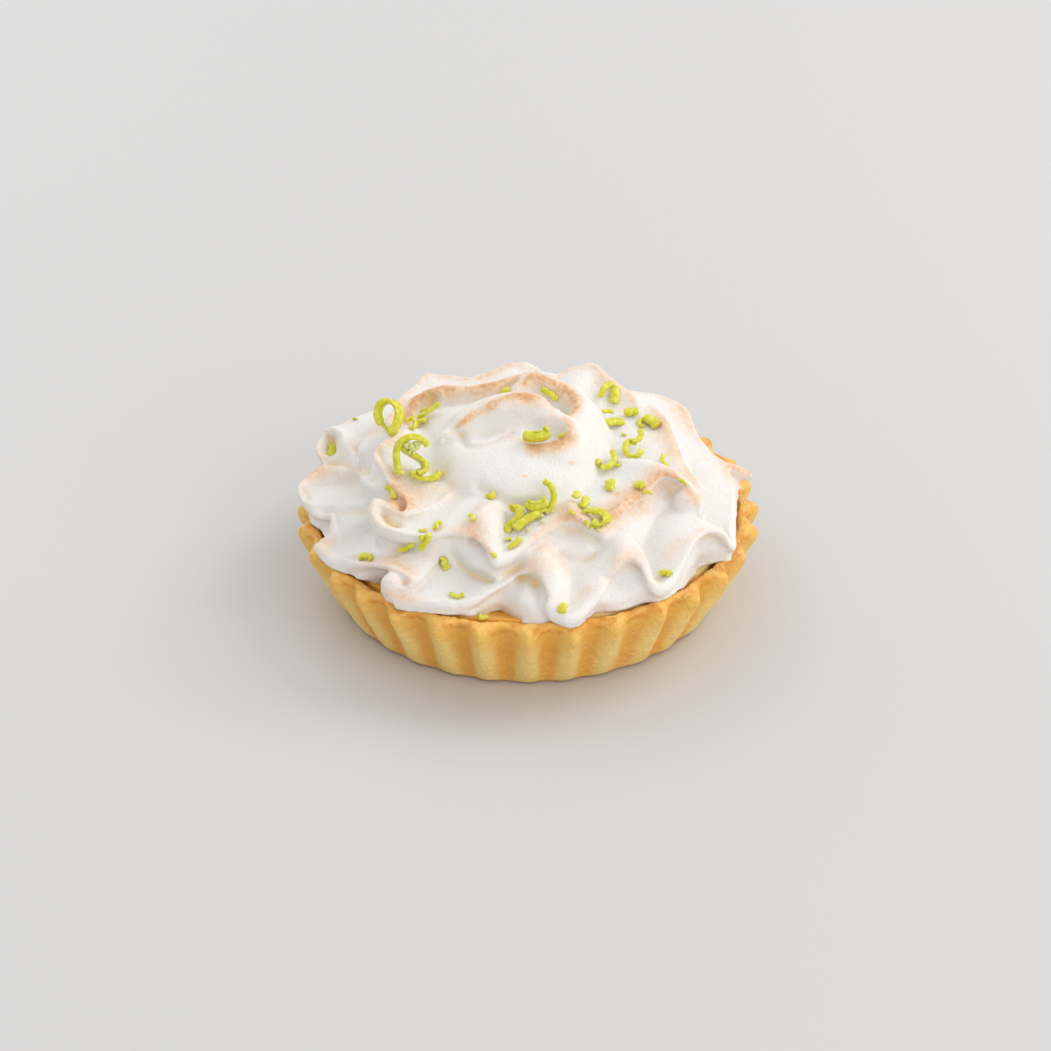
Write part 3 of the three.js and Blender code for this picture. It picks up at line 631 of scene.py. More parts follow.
# %% Strokes that shape the foam
# What each stroke makes: its width and its push in mm, then its route.
STROKES = {
    "hollow behind the double curl": (2.3, (0.2, 0, -2.1), [
        (-26, -6.4, 34.8), (-21, -8.2, 34), (-18.2, -11.4, 33.6)]),
    "far rim of that hollow": (1.2, (0, 0.2, 1.1), [
        (-31.6, -6.4, 35.8), (-28.6, -4.4, 35.5), (-25.8, -0.8, 35), (-24.5, 2.4, 34.8)]),
    "tall fold at the left, its hollow": (1.2, (-0.1, 3, -1), [
        (-20.3, 11.4, 37.6), (-20.8, 10, 36.2), (-21.8, 8, 35.2)]),
    "its left edge": (0.9, (-0.9, -1, 0.6), [
        (-20.4, 12.2, 38.8), (-22.2, 11, 37.6), (-23.3, 9.4, 36.2), (-24.3, 5.1, 35)]),
    "its right edge": (0.8, (0.5, -1.2, 0.4), [(-18.9, 12, 38.8), (-18.8, 11, 37.4), (-18.8, 10, 36)]),
    "edge of the last curl": (0.9, (-0.3, -0.7, 0.2), [
        (-14, -3.5, 39.6), (-12.7, -2.5, 40.7), (-10.3, -1.2, 41.8), (-6.7, -0.5, 43), (-3.4, 0.4, 43.6)]),
    "below that edge": (1.1, (0.2, 0.8, -0.1), [
        (-13.6, -4.6, 37.6), (-10.6, -4.4, 39), (-6.4, -3.4, 40.2), (-3, -2.4, 41)]),
    "gap beside the peak": (1.2, (-0.3, 1.1, -0.8), [(-4, 11.6, 39.6), (-2.4, 12.2, 40.6)]),
    "crease below the last curl": (0.85, (0, 0.9, -0.8), [
        (-14.4, -4.2, 38), (-13.4, -6.4, 37), (-12.1, -8.2, 37), (-9.7, -8.3, 37.5), (-7.2, -7.6, 37.9),
        (-5, -6.2, 38.3), (-3.3, -4.9, 38.4)]),
    "foot of the dome": (0.9, (0, 0.7, -0.8), [
        (-9.9, -17.9, 33.4), (-6.4, -19.8, 32.5), (-3.3, -20.8, 31.5), (-0.9, -20.9, 31),
        (2.6, -20.9, 31.2)]),
    "hump behind the first middle pinch": (2.5, (0, 0, 2), [(-9.6, -27.6, 31.2), (-7.6, -24.4, 31.5)]),
    "valley beside it": (1.9, (0, 0, -0.9), [(-2.9, -28.6, 29.3), (-3.4, -25.4, 30)]),
    "hump behind the second": (1.9, (0, 0, 1.1), [(10, -25.8, 30.6), (8.8, -23.4, 31.3)]),
    "ridge towards the third": (1.5, (0, 0, 0.7), [
        (16.4, -25.6, 30.2), (19.9, -20.5, 31.1), (21.4, -17, 31.3)]),
    "hump behind the first lower pinch": (1.9, (0, 0, 1.1), [(2.2, -35.4, 25.8), (4.2, -32.2, 26.8)]),
    "hump behind the second lower pinch": (1.9, (0, 0, 0.8), [(18.4, -34.4, 26.1), (19.6, -31.6, 26.7)]),
    "cavity below the first middle pinch": (1.1, (0.2, 1.5, -0.2), [
        (-11.2, -31.2, 28.6), (-9.4, -32.6, 28), (-8, -34.8, 27.6)]),
    "cavity below the second": (1.1, (-0.2, 1.2, -0.3), [
        (8.4, -27.2, 28), (11.4, -27.8, 28), (13.6, -28.9, 27.8)]),
    "cavity below the third": (1.1, (-0.3, 1.5, -0.3), [(28.4, -14.4, 31), (29.6, -15.2, 30)]),
    "cavity below the first lower pinch": (1.1, (-0.2, 2.4, -0.6), [
        (-1.4, -36.6, 22.4), (0.6, -37, 22.3), (1.9, -38.6, 22)]),
    "crease below the first middle belly": (0.9, (0, 0.9, -1), [
        (-15.2, -30.7, 25.6), (-13.6, -32.1, 24), (-11.2, -33.8, 22.6), (-7.9, -35.9, 22.7),
        (-4.5, -35.6, 23.8), (-1.4, -34.6, 25)]),
    "crease below the second middle belly": (0.9, (0, 0.7, -0.9), [
        (7, -31.6, 26), (9.3, -32.3, 25), (12.7, -31.6, 25.2), (16, -30.4, 25.6)]),
    "fold in the first lower belly": (0.7, (0.3, 0.6, -0.5), [
        (2, -40, 21.6), (1.8, -42, 20.8), (2.4, -44, 20)]),
    "cavity below the second lower pinch": (1.1, (0, 1.4, -0.2), [
        (16, -38.4, 23.6), (18.2, -37.4, 23), (20.6, -38.6, 22.8)]),
    "cavity below the third lower pinch": (1.2, (-0.7, 1.2, -0.2), [(36.6, -23.6, 24.6), (39, -23.4, 23.4)]),
    "body below the first middle pinch": (1.8, (0, -1.5, 0), [(-10.8, -33.6, 25), (-8, -35.8, 24.8)]),
    "body below the first lower pinch": (2.2, (0, -1.1, 0.1), [(-1.6, -39.6, 20.4), (1.6, -41, 20.2)]),
    "body below the second lower pinch": (2.4, (0.2, -0.9, 0.1), [(15.6, -40.6, 20.6), (19, -40, 20.6)]),
    "arch of the far left lobe": (1.1, (-0.5, -0.3, 1), [
        (-46, 7.4, 23.4), (-45.4, 11, 24.9), (-44, 14.4, 26.4), (-41.4, 15.8, 27), (-39.8, 14, 26.4)]),
    "its hollow": (1.3, (0.6, 1.5, -1.4), [(-42.6, 13.6, 25.8), (-42.4, 12, 24.7), (-41.9, 11, 23.6)]),
    "hump beside the arch": (1.6, (0.2, -0.5, 1), [
        (-39.4, 13.4, 25.8), (-38.3, 10.3, 24.6), (-35.6, 6.8, 25.4)]),
    "slope above the hump": (2.4, (-0.8, -0.2, 1.5), [
        (-37.8, 9.8, 25.8), (-35.6, 5.4, 26.2), (-34.4, 1.6, 28)]),
    "valley behind the left lobe": (1.1, (0.3, 0.3, -1.4), [
        (-42.3, 7.7, 24), (-39, 5.2, 24.3), (-35.6, 1.4, 26), (-34, -2.6, 28), (-32.6, -7, 30.4),
        (-31, -11, 31)]),
    "ridge from the left lobe to the fold": (2, (-1.1, -0.5, 0.9), [
        (-37.4, -0.6, 25), (-34.3, -4.4, 26.2), (-33, -8.6, 28.4), (-31.2, -12.4, 29.8)]),
    "slit in the fold by the double curl": (0.55, (0.2, 0.1, -1), [
        (-30.9, -8.2, 36), (-30.2, -9.8, 35.3), (-29.4, -11.4, 34.9)]),
    "lower corner of the turned end": (1.2, (1.2, 0.5, 0.7), [(-29.6, -38.9, 19.2), (-28.4, -39.9, 18.6)]),
    "crest of the left lobe": (1.5, (-0.1, 0, 1.1), [
        (-47.6, 0.4, 22.8), (-45.4, 2.3, 24.1), (-41.5, 3.2, 24.6), (-37.8, 1.1, 24.9), (-35, -1.5, 25.6)]),
    "body of the left lobe": (2.2, (0, -0.2, 0.5), [(-42, -2.6, 23.4), (-36.4, -4.4, 24.4)]),
    "valley before the left lobe": (1.3, (0.1, 0, -1.4), [
        (-41.6, -9, 22.4), (-39, -9.8, 23.1), (-35.6, -11.2, 23.8), (-32.6, -12.4, 24.8)]),
    "rolled edge of the left lobe": (0.8, (-0.3, -0.2, 0.7), [
        (-48, -1.2, 22.4), (-47.2, -4.4, 21.6), (-44.5, -7.3, 22.1), (-42, -7.4, 22.6)]),
    "edge of the next lobe": (0.9, (0.1, -0.1, 0.9), [
        (-41, -11.6, 22.4), (-39.9, -15, 22.3), (-39.4, -18.6, 21.4)]),
    "its recessed face": (1.3, (0.7, 0.4, -1.3), [(-43, -13, 21), (-42.2, -16.8, 21.4)]),
    "valley behind the lower ledge": (1.1, (0, 0.4, -1.3), [
        (-35.4, -24.8, 21.3), (-31.4, -28.4, 22.8), (-26.4, -29.4, 24.6)]),
    "lower ledge on the left": (0.8, (-0.2, -0.5, 0.6), [
        (-37.6, -25.6, 21), (-34.4, -29.3, 21.7), (-31.1, -31.3, 22.8), (-27.1, -34, 23.9),
        (-23.4, -36.9, 23.6)]),
    "outer band of the loop": (0.8, (-0.2, -0.4, 0.6), [
        (-31, -19.8, 31.1), (-31.5, -22.2, 30.2), (-30, -26.1, 29.4), (-26, -28.7, 29.1),
        (-21.2, -30.5, 29.1)]),
    "slit inside the loop": (0.6, (0, 0.6, -1.6), [
        (-29.2, -23, 30.2), (-28.2, -24.9, 29.7), (-26.2, -26.2, 29.3)]),
    "edge of the fold over the loop": (0.8, (-0.5, -0.4, 0.5), [
        (-28.2, -15.8, 33.3), (-25.6, -18.4, 32.5), (-24.4, -21.6, 31.4), (-24.8, -24.2, 30.2)]),
    "cavity below that fold": (0.8, (1.2, 0.7, -0.9), [(-25.8, -19.8, 31.4), (-25.4, -22, 31)]),
    "slope left of the ring": (4.2, (-2.2, 0.2, 1), [(-33, 5, 30), (-32, 11, 31.5)]),
    "ridge at the back on the right": (1.4, (0, 0, 0.9), [
        (13.7, 28.4, 36), (18.9, 20.7, 34.4), (22.3, 18.1, 33.6), (25.1, 18.9, 32)]),
    "valley beside it on the near side": (1.9, (0, 0, -2), [
        (13.6, 11.8, 35), (18.6, 15, 34.4), (24, 16.6, 33.4)]),
    "edge of the shelf on the right": (1.3, (0, 0, 0.7), [
        (20.3, 9.4, 34.6), (25.2, 13.4, 33.6), (28.2, 10.9, 33.4), (29.8, 2.5, 33), (31.4, -7, 32.4)]),
    "hump above the left lobe": (2.3, (-0.4, -0.8, 1.9), [
        (-39, 11.2, 26.3), (-37.4, 7.4, 25.8), (-35.8, 4.2, 25.8)]),
    "crest between the back peaks": (1.6, (0, 0, 1.4), [
        (-0.5, 27.2, 35.5), (2.2, 26.8, 35), (4.4, 26.2, 34.6)]),
    "spur below the right tip": (1.3, (-1.5, 0.8, 0.5), [(46.6, 3.6, 18.8), (46.2, 3.6, 20)]),
    "foot of the belly beside the tongue": (2, (0.2, -1, -0.6), [
        (-3.2, -39.8, 17.4), (-0.6, -42, 17.6), (2.4, -43.6, 18.4)]),
    "left flank of the tongue": (1.7, (-1.2, -0.3, -0.3), [(5.2, -45.8, 19.8), (5, -44.4, 21.4)]),
    "upper corner of the left lobe": (2, (1.1, 0.3, -1.3), [(-47, 0.6, 24.4), (-45.6, 2.2, 25)]),
    "recess in the tip of the left lobe": (0.6, (0.3, 0.4, -1), [
        (-47, -1.8, 22.8), (-46.6, -3.6, 22.3), (-45.9, -5.2, 22)]),
}


def nearness(points, route, width):
    """One on a route through points in mm, falling to nothing about two widths away from it."""
    if len(route) == 1:
        route = [route[0], np.add(route[0], (0.5, 0, 0))]
    line = catmull(route, max(4, 6 * len(route)))
    out = np.zeros(len(points))
    near = np.all((points > line.min(0) - 2.5 * width) & (points < line.max(0) + 2.5 * width), axis=1)
    p = points[near]
    best = np.full(len(p), np.inf)
    for a, b in zip(line, line[1:]):
        d = b - a
        t = np.clip((p - a) @ d / (d @ d), 0, 1)
        best = np.minimum(best, ((p - a - t[:, None] * d) ** 2).sum(1))
    out[near] = np.exp(-best / width**2)
    return out


def stroked(points):
    """Points moved by every stroke, all measured on the foam as it was before them."""
    moved = points.copy()
    for width, push, route in STROKES.values():
        moved += nearness(points, route, width)[:, None] * np.array(push)
    return moved


print("strokes:", len(STROKES))

# %% [markdown]
# A ruffle, the crown and a curl are all rows of points that close on themselves. A bmesh grid is the right
# start for them: the operator makes the faces, each vertex is then moved to its place in the rows, and
# merging by distance closes the seam and the poles. Foam also needs softening, which averages each point with
# its neighbours.

# %% Surfaces through rows
def add_lofted(bm, rows):
    """Adds a closed surface through rows of points (rows, columns, 3) in mm; each row closes on itself."""
    rows = np.asarray(rows, float)
    steps, columns = rows.shape[:2]
    made = bmesh.ops.create_grid(bm, x_segments=columns, y_segments=steps - 1, size=1)["verts"]
    wrapped = np.concatenate([rows, rows[:, :1]], axis=1).reshape(-1, 3) * MM
    for vert, place in zip(made, wrapped):
        vert.co = place
    bmesh.ops.remove_doubles(bm, verts=made, dist=1e-7)


def normals_of(mesh):
    return vertex_rows(mesh, "normal")


def relax(mesh, values, rounds):
    """Averages values over neighbouring vertices."""
    edges = np.empty(len(mesh.edges) * 2, int)
    mesh.edges.foreach_get("vertices", edges)
    a, b = edges.reshape(-1, 2).T
    count = np.bincount(a, minlength=len(values)) + np.bincount(b, minlength=len(values))
    count = np.maximum(count, 1)
    flat = values.reshape(len(values), -1).astype(float)
    for _ in range(rounds):
        total = np.empty_like(flat)
        for k in range(flat.shape[1]):
            total[:, k] = np.bincount(a, flat[b, k], len(flat)) + np.bincount(b, flat[a, k], len(flat))
        flat = 0.5 * flat + 0.5 * total / count[:, None]
    return flat.reshape(values.shape)

# %% [markdown]
# The three bodies and a few balls, where the foam was turned back or broke off, overlap. A voxel remesh turns
# them into one skin with even faces, as foam flows together. A little smoothing softens the creases where
# they meet, the strokes go over it, and two sizes of noise give the foam its unevenness.

# %% Meringue mesh
VOXEL = 0.42
KEPT_FACES = 0.73
# Rounded ends of the foam: centre and radii in mm.
LUMPS = [
    ((-27.2, -36.4, 21.2), (2.6, 2.9, 2.8)), ((-27.4, -20.6, 29.4), (2.5, 2.9, 1.9)),
    ((-42.6, -21.4, 20.6), (1.7, 1.5, 1.3)), ((32.7, -17, 28.8), (2.8, 2.5, 3.2)),
    ((34.2, -14.6, 25.6), (2.5, 2.6, 2.8)),
]


def add_ball(bm, centre, radii):
    for vert in bmesh.ops.create_icosphere(bm, subdivisions=3, radius=1)["verts"]:
        vert.co = (Vector(centre) + Vector(np.multiply(vert.co, radii))) * MM


def remeshed(bm):
    """One closed skin round everything in the bmesh, with fewer faces where it is flat."""
    raw = mesh_of("raw", bm)
    holder = add_object("raw", raw)
    skin = holder.modifiers.new("skin", "REMESH")
    skin.mode = "VOXEL"
    skin.voxel_size = VOXEL * MM
    holder.modifiers.new("fewer", "DECIMATE").ratio = KEPT_FACES
    graph = bpy.context.evaluated_depsgraph_get()
    mesh = bpy.data.meshes.new_from_object(holder.evaluated_get(graph))
    bpy.data.objects.remove(holder)
    bpy.data.meshes.remove(raw)
    return mesh


def make_foam():
    bm = bmesh.new()
    add_lofted(bm, ruffle(
        LOWER_LIP, foot=FILL_HEIGHT - FOOT_SINK, foot_reach=43.2, crown=24, crown_reach=22,
        swell=0.8, cave_depth=1.3, openings=OPENINGS,
    ))
    add_lofted(bm, ruffle(
        MIDDLE_LIP, foot=21, foot_reach=34, crown=31.5, crown_reach=12, swell=0.5, cave_depth=1.1,
    ))
    add_lofted(bm, crown_rows())
    for centre, radii in LUMPS:
        add_ball(bm, centre, radii)
    bmesh.ops.recalc_face_normals(bm, faces=bm.faces)
    mesh = remeshed(bm)
    points = relax(mesh, points_of(mesh), 4)
    points = relax(mesh, stroked(points), 2)
    move_points(mesh, points)
    uneven = fractal(points, 7, 2, 5.5) * 0.16 + fractal(points, 1.6, 2, 9.1) * 0.035
    move_points(mesh, points + normals_of(mesh) * uneven[:, None])
    return mesh


meringue_mesh = make_foam()
meringue_piece = add_piece("meringue_ruffles", meringue_mesh, "meringue", "meringue")
print("meringue triangles", sum(len(p.vertices) - 2 for p in meringue_mesh.polygons))

# %% [markdown]
# A flame passed over the foam browns what stands up: the lips, the crests and the humps behind them, most of
# all round the crown. The heat of each point falls off with its distance to them, and never reaches the
# undersides. Deep places are painted a darker, warm yellow: painted shade, and a painted glow of the light
# that comes to them through the foam.

# %% Heat and hollows
# Heat along each lip: angle in degrees and strength.
LOWER_HEAT = [
    (0, 0.5), (8, 0.7), (14, 0.3), (40, 0.45), (80, 0.3), (120, 0.3), (150, 0.35), (165, 0.5), (178, 0.6),
    (190, 0.25), (204, 0.6), (214, 0.2), (228, 0.6), (238, 0.7), (246, 0.1), (262, 0.2), (271, 0.5),
    (279, 0.05), (290, 0.2), (300, 0.5), (308, 0.05), (318, 0.2), (327, 0.5), (334, 0.1), (352, 0.25),
    (360, 0.5),
]
MIDDLE_HEAT = [
    (0, 0.55), (20, 0.7), (40, 0.6), (62, 0.8), (80, 0.5), (96, 0.8), (120, 0.7), (140, 0.6), (170, 0.55),
    (192, 0.65), (210, 0.4), (224, 0.6), (232, 0.1), (243, 0.35), (251, 0.7), (258, 0.45), (262, 0.05),
    (275, 0.55), (290, 0.7), (300, 0.7), (316, 0.8), (332, 0.8), (345, 0.45), (360, 0.55),
]
# Heat away from the lips: width, strength and route.
WARM_PLACES = [
    (5, 0.5, [(-24, -18.5, 32.5), (-17.5, -17, 32.8)]), (3.6, 0.45, [(-10.2, -29, 31.4), (-8.2, -25, 32.4)]),
    (3.4, 0.4, [(9.6, -26, 30.8), (8.4, -22, 31.6)]), (3.6, 0.5, [(16.6, -24, 31), (21, -18, 32)]),
    (3, 0.4, [(26.8, -12.6, 33.6), (29, -12.4, 33.6)]), (3.2, 0.32, [(2.4, -35, 26.4), (4.6, -31.6, 27.2)]),
    (3, 0.25, [(18.8, -34, 26.6)]), (4, 0.3, [(-25.4, -33.6, 24.4), (-20, -32, 24.6)]),
    (4.4, 0.5, [(-34, 9, 31), (-30, 8, 33)]), (3, 0.3, [(4.4, -9.4, 39), (9.6, -7.4, 39.4)]),
    (3.4, 0.5, [(3.2, 9.4, 42), (7.8, 6.8, 41.4)]), (3, 0.35, [(-17, 3, 38), (-9, 3, 42)]),
    (0.9, 0.7, [(-14.2, -4.2, 39.2), (-12.9, -3.2, 40.4), (-10.4, -1.9, 41.4), (-6.8, -1.2, 42.6)]),
    (1.1, 0.8, [(-8, -0.9, 43), (-4.7, 0.1, 44), (-1.9, 0.8, 44.1), (1.5, 1, 43.8)]),
    (1.9, 0.95, [(1.2, -10.8, 37.8), (5.2, -10.6, 38.6), (7.8, -9, 39.4)]),
    (1, 0.3, [(8.4, -3.4, 41.2), (9.4, -6, 40.6)]),
    (2.2, 0.5, [(-24.6, 5.6, 35.4), (-22, 11.8, 38.2), (-19, 12.4, 39)]),
    (2.6, 0.4, [(-43, 3.4, 25), (-38, 1.4, 25.4)]), (1.6, 0.4, [(-42.6, -21.4, 21.4), (-40.6, -19.6, 21.6)]),
    (1.6, 0.3, [(-28, -15.6, 33.6), (-24.6, -21.4, 31.8)]),
    (2.4, 0.45, [(-28, -18, 31.4), (-26.4, -22.6, 30.8)]), (2.2, 0.35, [(8, -43, 21.6), (12, -40, 22.4)]),
    (2.6, 0.35, [(24, -33, 25), (30, -28, 25.6)]), (4, 0.35, [(28, 8, 33.4), (30, -2, 33)]),
    (4, 0.4, [(46, 3.6, 24.4), (42.6, 1, 26.6)]), (5, 0.35, [(36, 20, 28), (33, 24, 28)]),
    (4, 0.3, [(-42, 2, 23.4), (-38, -2, 23.6)]), (3, 0.3, [(-32, -31, 22.4), (-29, -30, 23)]),
    (4, 0.3, [(17, 22, 35), (20, 26, 34)]), (2.6, 0.35, [(-37, 8, 27), (-34.6, 10, 29)]),
    (3.4, 0.3, [(33.4, -9.6, 31), (36.4, -5, 29)]), (0.4, 0.9, [(-0.9, -17, 35.3)]),
    (0.4, 0.8, [(8.7, -12.8, 35.9)]), (0.6, 0.7, [(17.9, -17.4, 31.3)]),
    # The first place on the next line browns the left side of a lower lobe at the front right: partly toast,
    # partly painted shade.
    (3.5, 0.35, [(6, -34, 24), (9, -33, 24.4)]), (3.5, 0.35, [(24, -18.6, 29), (27, -16, 29.6)]),
    (3, 0.4, [(-17, 12.4, 38.4), (-12.2, 11.5, 38.6), (-7, 11.6, 39.4)]),
    (1.6, 0.6, [(-2, 0.4, 43.8), (2.4, 0, 43.6)]),
]
# Deep places painted with shade and a glow of light that comes through the foam: width and route.
PAINTED_GLOW_PLACES = [
    (1.6, [(-2, 13.2, 41), (-3, 13, 40.2), (-5, 12, 39)]), (1.6, [(8.8, 5.9, 39.3), (9.3, 2.3, 39.6)]),
    (1.5, [(-20.6, 12.6, 37.4), (-21, 11, 35.8)]),
    (1.7, [(-21, -8.2, 34), (-18.2, -11, 33.4), (-17, -10.8, 33.4)]), (1.5, [(-42.4, 13, 25)]),
    (0.9, [(-28.4, -24.2, 29.4), (-26.6, -26, 29)]), (0.9, [(-25.4, -20.4, 31), (-24.8, -22.6, 30.4)]),
    (1.1, [(-1.2, -36, 22), (1.6, -37, 21.8)]), (0.7, [(-30.8, -8.4, 35.4), (-29.6, -11.2, 34.4)]),
]
PAINTED_GLOW_DEPTH = 0.6
# Strength of all heat, and for lips and crests the width of the browned line and of the glow beside it.
HEAT = 0.64
LIP_LINE, LIP_GLOW = 0.8, 3.2
CREST_LINE, CREST_GLOW = 0.9, 2.6


def lip_heat(points, rows, table):
    """Heat of points near a lip: a narrow line just inside it and a wide glow beside that."""
    lip = lip_curve(rows, 900)
    angle = np.degrees(np.arctan2(lip[:, 1], lip[:, 0])) % 360
    strength = np.interp(angle, *np.array(table).T)
    lip[:, :2] *= (1 - 1.1 / np.hypot(lip[:, 0], lip[:, 1]))[:, None]
    tree = KDTree(len(lip))
    for k, place in enumerate(lip):
        tree.insert(place, k)
    tree.balance()
    _, nearest, gap = zip(*(tree.find(p) for p in points))
    gap = np.array(gap)
    line, glow = (np.exp(-((gap / width) ** 2)) for width in (LIP_LINE, LIP_GLOW))
    return strength[np.array(nearest)] * (0.5 * line + 0.5 * glow)


def crest_heat(points, crest):
    """Heat of points near a crest, which leans forward of its route."""
    route = np.array(crest["route"])[:, :3] - [0, 0.8 * crest["lean"], 0]
    line, glow = (nearness(points, route, width) for width in (CREST_LINE, CREST_GLOW))
    return crest["heat"] * (0.55 * line + 0.45 * glow)


def heat_of(points, normals):
    heat = np.maximum(lip_heat(points, LOWER_LIP, LOWER_HEAT), lip_heat(points, MIDDLE_LIP, MIDDLE_HEAT))
    for crest in CRESTS.values():
        heat = np.maximum(heat, crest_heat(points, crest))
    for width, strength, route in WARM_PLACES:
        heat += strength * nearness(points, route, width)
    patchy = 1 + 0.35 * fractal(points, 6, 3, 3.1) + 0.2 * fractal(points, 1.8, 2, 6.1)
    return np.clip(HEAT * heat * patchy, 0, 1.4) * smooth_step(normals[:, 2], -0.6, 0.2)


def hollow_shade_and_glow(mesh, points, normals):
    """How deep each point lies in its surroundings, in mm, made deeper at the places of painted glow; it sets
    painted shade and glow.
    """
    depth = ((relax(mesh, points, 40) - points) * normals).sum(1)
    for width, route in PAINTED_GLOW_PLACES:
        depth = depth + PAINTED_GLOW_DEPTH * nearness(points, route, width)
    return depth


def store_heat_and_shade(mesh):
    points, normals = points_of(mesh), normals_of(mesh)
    heat, hollow = heat_of(points, normals), hollow_shade_and_glow(mesh, points, normals)
    store(mesh, "toast", relax(mesh, heat, 1))
    # The hollow value becomes painted shade and a painted glow in the material.
    store(mesh, "hollow", hollow)
    print("heat up to", round(heat.max(), 2), "hollows up to", round(hollow.max(), 2), "mm")


store_heat_and_shade(meringue_mesh)

# %% [markdown]
# ## Green chocolate
# The curls are thin bands shaved off a block of coloured white chocolate: they roll up as they leave the
# blade. Each one is a band swept along a short curve, wide across the roll and thin through it. The band is
# bowed, its ends are rounded, and its edges are torn unevenly. Places are stated as they are seen from a seat
# at the table.

# %% Curl helper
SEAT_LEAN = math.radians(32)
RIGHT = np.array([1.0, 0, 0])
LEAN_UP = np.array([0, math.sin(SEAT_LEAN), math.cos(SEAT_LEAN)])
LEAN_FORWARD = np.array([0, -LEAN_UP[2], LEAN_UP[1]])
# Points round a band and along its curve, the power that squares its corners, its bow and its rounded ends.
BAND_AROUND, CURVE_POINTS = 12, 200
BAND_CORNER, BAND_BOW, BAND_END = 0.55, 0.07, 0.3


def seen(across, up, forward):
    """A step across, up and towards somebody who sits at the table."""
    return across * RIGHT + up * LEAN_UP + forward * LEAN_FORWARD


def unit(rows):
    return rows / (np.linalg.norm(rows, axis=-1, keepdims=True) + 1e-9)


def band_rows(route, width, thick, axis, rough, seed, steps=34):
    """Rows of a band along a route in mm, its width as near to the axis as the route allows."""
    dense = catmull(route, CURVE_POINTS)
    length = np.linalg.norm(np.diff(dense, axis=0), axis=1).sum()
    t = 0.5 - 0.5 * np.cos(np.linspace(0, np.pi, steps))
    path = np.stack([np.interp(t, np.linspace(0, 1, CURVE_POINTS), dense[:, k]) for k in range(3)], axis=1)
    along = unit(np.gradient(path, axis=0))
    side = unit(axis - (along * axis).sum(1, keepdims=True) * along)
    up = np.cross(side, along)
    rounding = np.minimum(1, np.minimum(t, 1 - t) * length / (BAND_END * min(width, thick, length)))
    size = np.sqrt(np.maximum(1 - (1 - rounding) ** 2, 0))[:, None]
    angles = 2 * np.pi * np.arange(BAND_AROUND) / BAND_AROUND
    c, s = (np.sign(v) * np.abs(v) ** BAND_CORNER for v in (np.cos(angles), np.sin(angles)))
    torn = [[noise.noise((k * length * 1.7, seed + 4.3 * edge, 0)) for edge in (0, 1)] for k in t]
    left, right = (1 + rough * np.array(torn)).T[..., None]
    a = 0.5 * width * size * np.where(c < 0, left, right) * c
    b = 0.5 * thick * size * s + BAND_BOW * width * size * (1 - 2 * c**2)
    return path[:, None] + a[..., None] * side[:, None] + b[..., None] * up[:, None]


def add_band(bm, route, width, thick, axis, **more):
    rows = band_rows(route, width, thick, unit(np.array(axis, float)), **more)
    rows[0], rows[-1] = rows[0].mean(0), rows[-1].mean(0)
    add_lofted(bm, rows)

# %% [markdown]
# The four large curls stand up from the foam, each in its own place, so each has a foot, an axis that its
# bands are wide along, and its own routes: a ring, a double curl with a torn foot, a tight roll and a hook.

# %% Large curls
# Foot and axis, then bands: width, thickness and route across, up and forward of the foot, all in mm.
LARGE_CURLS = {
    "curl_ring": ((-28.6, -2.2, 36.5), (-0.62, 0.1, 0.78), [
        (2.4, 0.95, [
            (-0.5, -0.1, 0.6), (0.5, 0.9, 0.5), (1.5, 2.8, 0.2), (1.8, 4.7, 0), (1, 6.3, -0.1),
            (-0.4, 7, -0.2), (-1.7, 6.5, -0.4), (-2.5, 5, -0.6), (-2.4, 3.3, -0.8), (-1.7, 2.3, -1.1),
        ]),
        (1.1, 0.6, [(-1.9, 2.6, -0.8), (-1.1, 1.5, -0.4), (-0.2, 0.7, 0)]),
    ]),
    "curl_double": ((-24.5, -14.3, 34.7), (0.35, -0.1, 0.9), [
        (1.9, 1.25, [
            (-2, 0, 0.4), (-2.3, 1.6, 0.2), (-2.5, 4, 0), (-1.7, 6, 0), (-0.2, 7, 0), (1.5, 7.1, -0.1),
            (3.1, 6.3, -0.4), (4.1, 5.2, -0.7),
        ]),
        (2.8, 1.2, [
            (-1.6, 5.4, -1), (-0.5, 4.3, -1.2), (0.9, 3.4, -1), (2.4, 2.5, -0.5), (3.3, 1.3, 0.2),
            (3, 0.2, 0.7), (1.7, -0.2, 1),
        ]),
        (1.5, 1.5, [(0.9, 0.2, 1.1), (1, -0.6, 1.3), (1.4, -1.1, 1.4)]),
        (1.2, 0.9, [(-2.8, 0.1, 0.7), (-2, -0.1, 0.9), (-1, 0, 0.8)]),
        (1.4, 0.7, [(1.2, -0.6, 1.2), (2.2, -1.3, 1.6), (3.8, -1.4, 1.7), (5.4, -0.8, 1.6), (6.4, 0, 1.3)]),
    ]),
    "curl_roll": ((2, -8.8, 39.9), (0.1, 0.5, 0.8), [
        (2.1, 2, [(-3, 0.3, 0), (-1.4, -0.1, 0.3), (0.3, -0.1, 0.3), (1.7, 0.3, 0), (2.3, 1.2, -0.3)]),
        (1.2, 0.8, [(2.1, 0.4, 0.3), (1.9, 1.4, 0.3), (1.2, 1.9, 0.2)]),
        (0.9, 0.6, [(-0.8, 0.9, 0.4), (0.4, 0.8, 0.7)]),
    ]),
    "curl_hook": ((2.4, -23.4, 31.1), (0.3, 0, 0.9), [
        (2.3, 1.8, [(-2.9, 1.2, 0.2), (-1.5, 0.6, 0.6), (0.2, 0.9, 0.6), (1.5, 1.9, 0.2)]),
        (1.8, 1.1, [(1.5, -0.4, 0.4), (2.6, 1.2, 0.3), (2.9, 3.2, 0), (2.2, 5, -0.3), (0.8, 6, -0.6)]),
        (0.9, 0.6, [(-2.4, 1.9, 0.9), (-1.2, 1.5, 1.3), (0.2, 1.8, 1.3), (1.2, 2.6, 0.9)]),
        (1, 0.7, [(-1.6, -0.4, 1), (0, -0.3, 1.3), (1.5, 0.2, 1.1)]),
    ]),
}


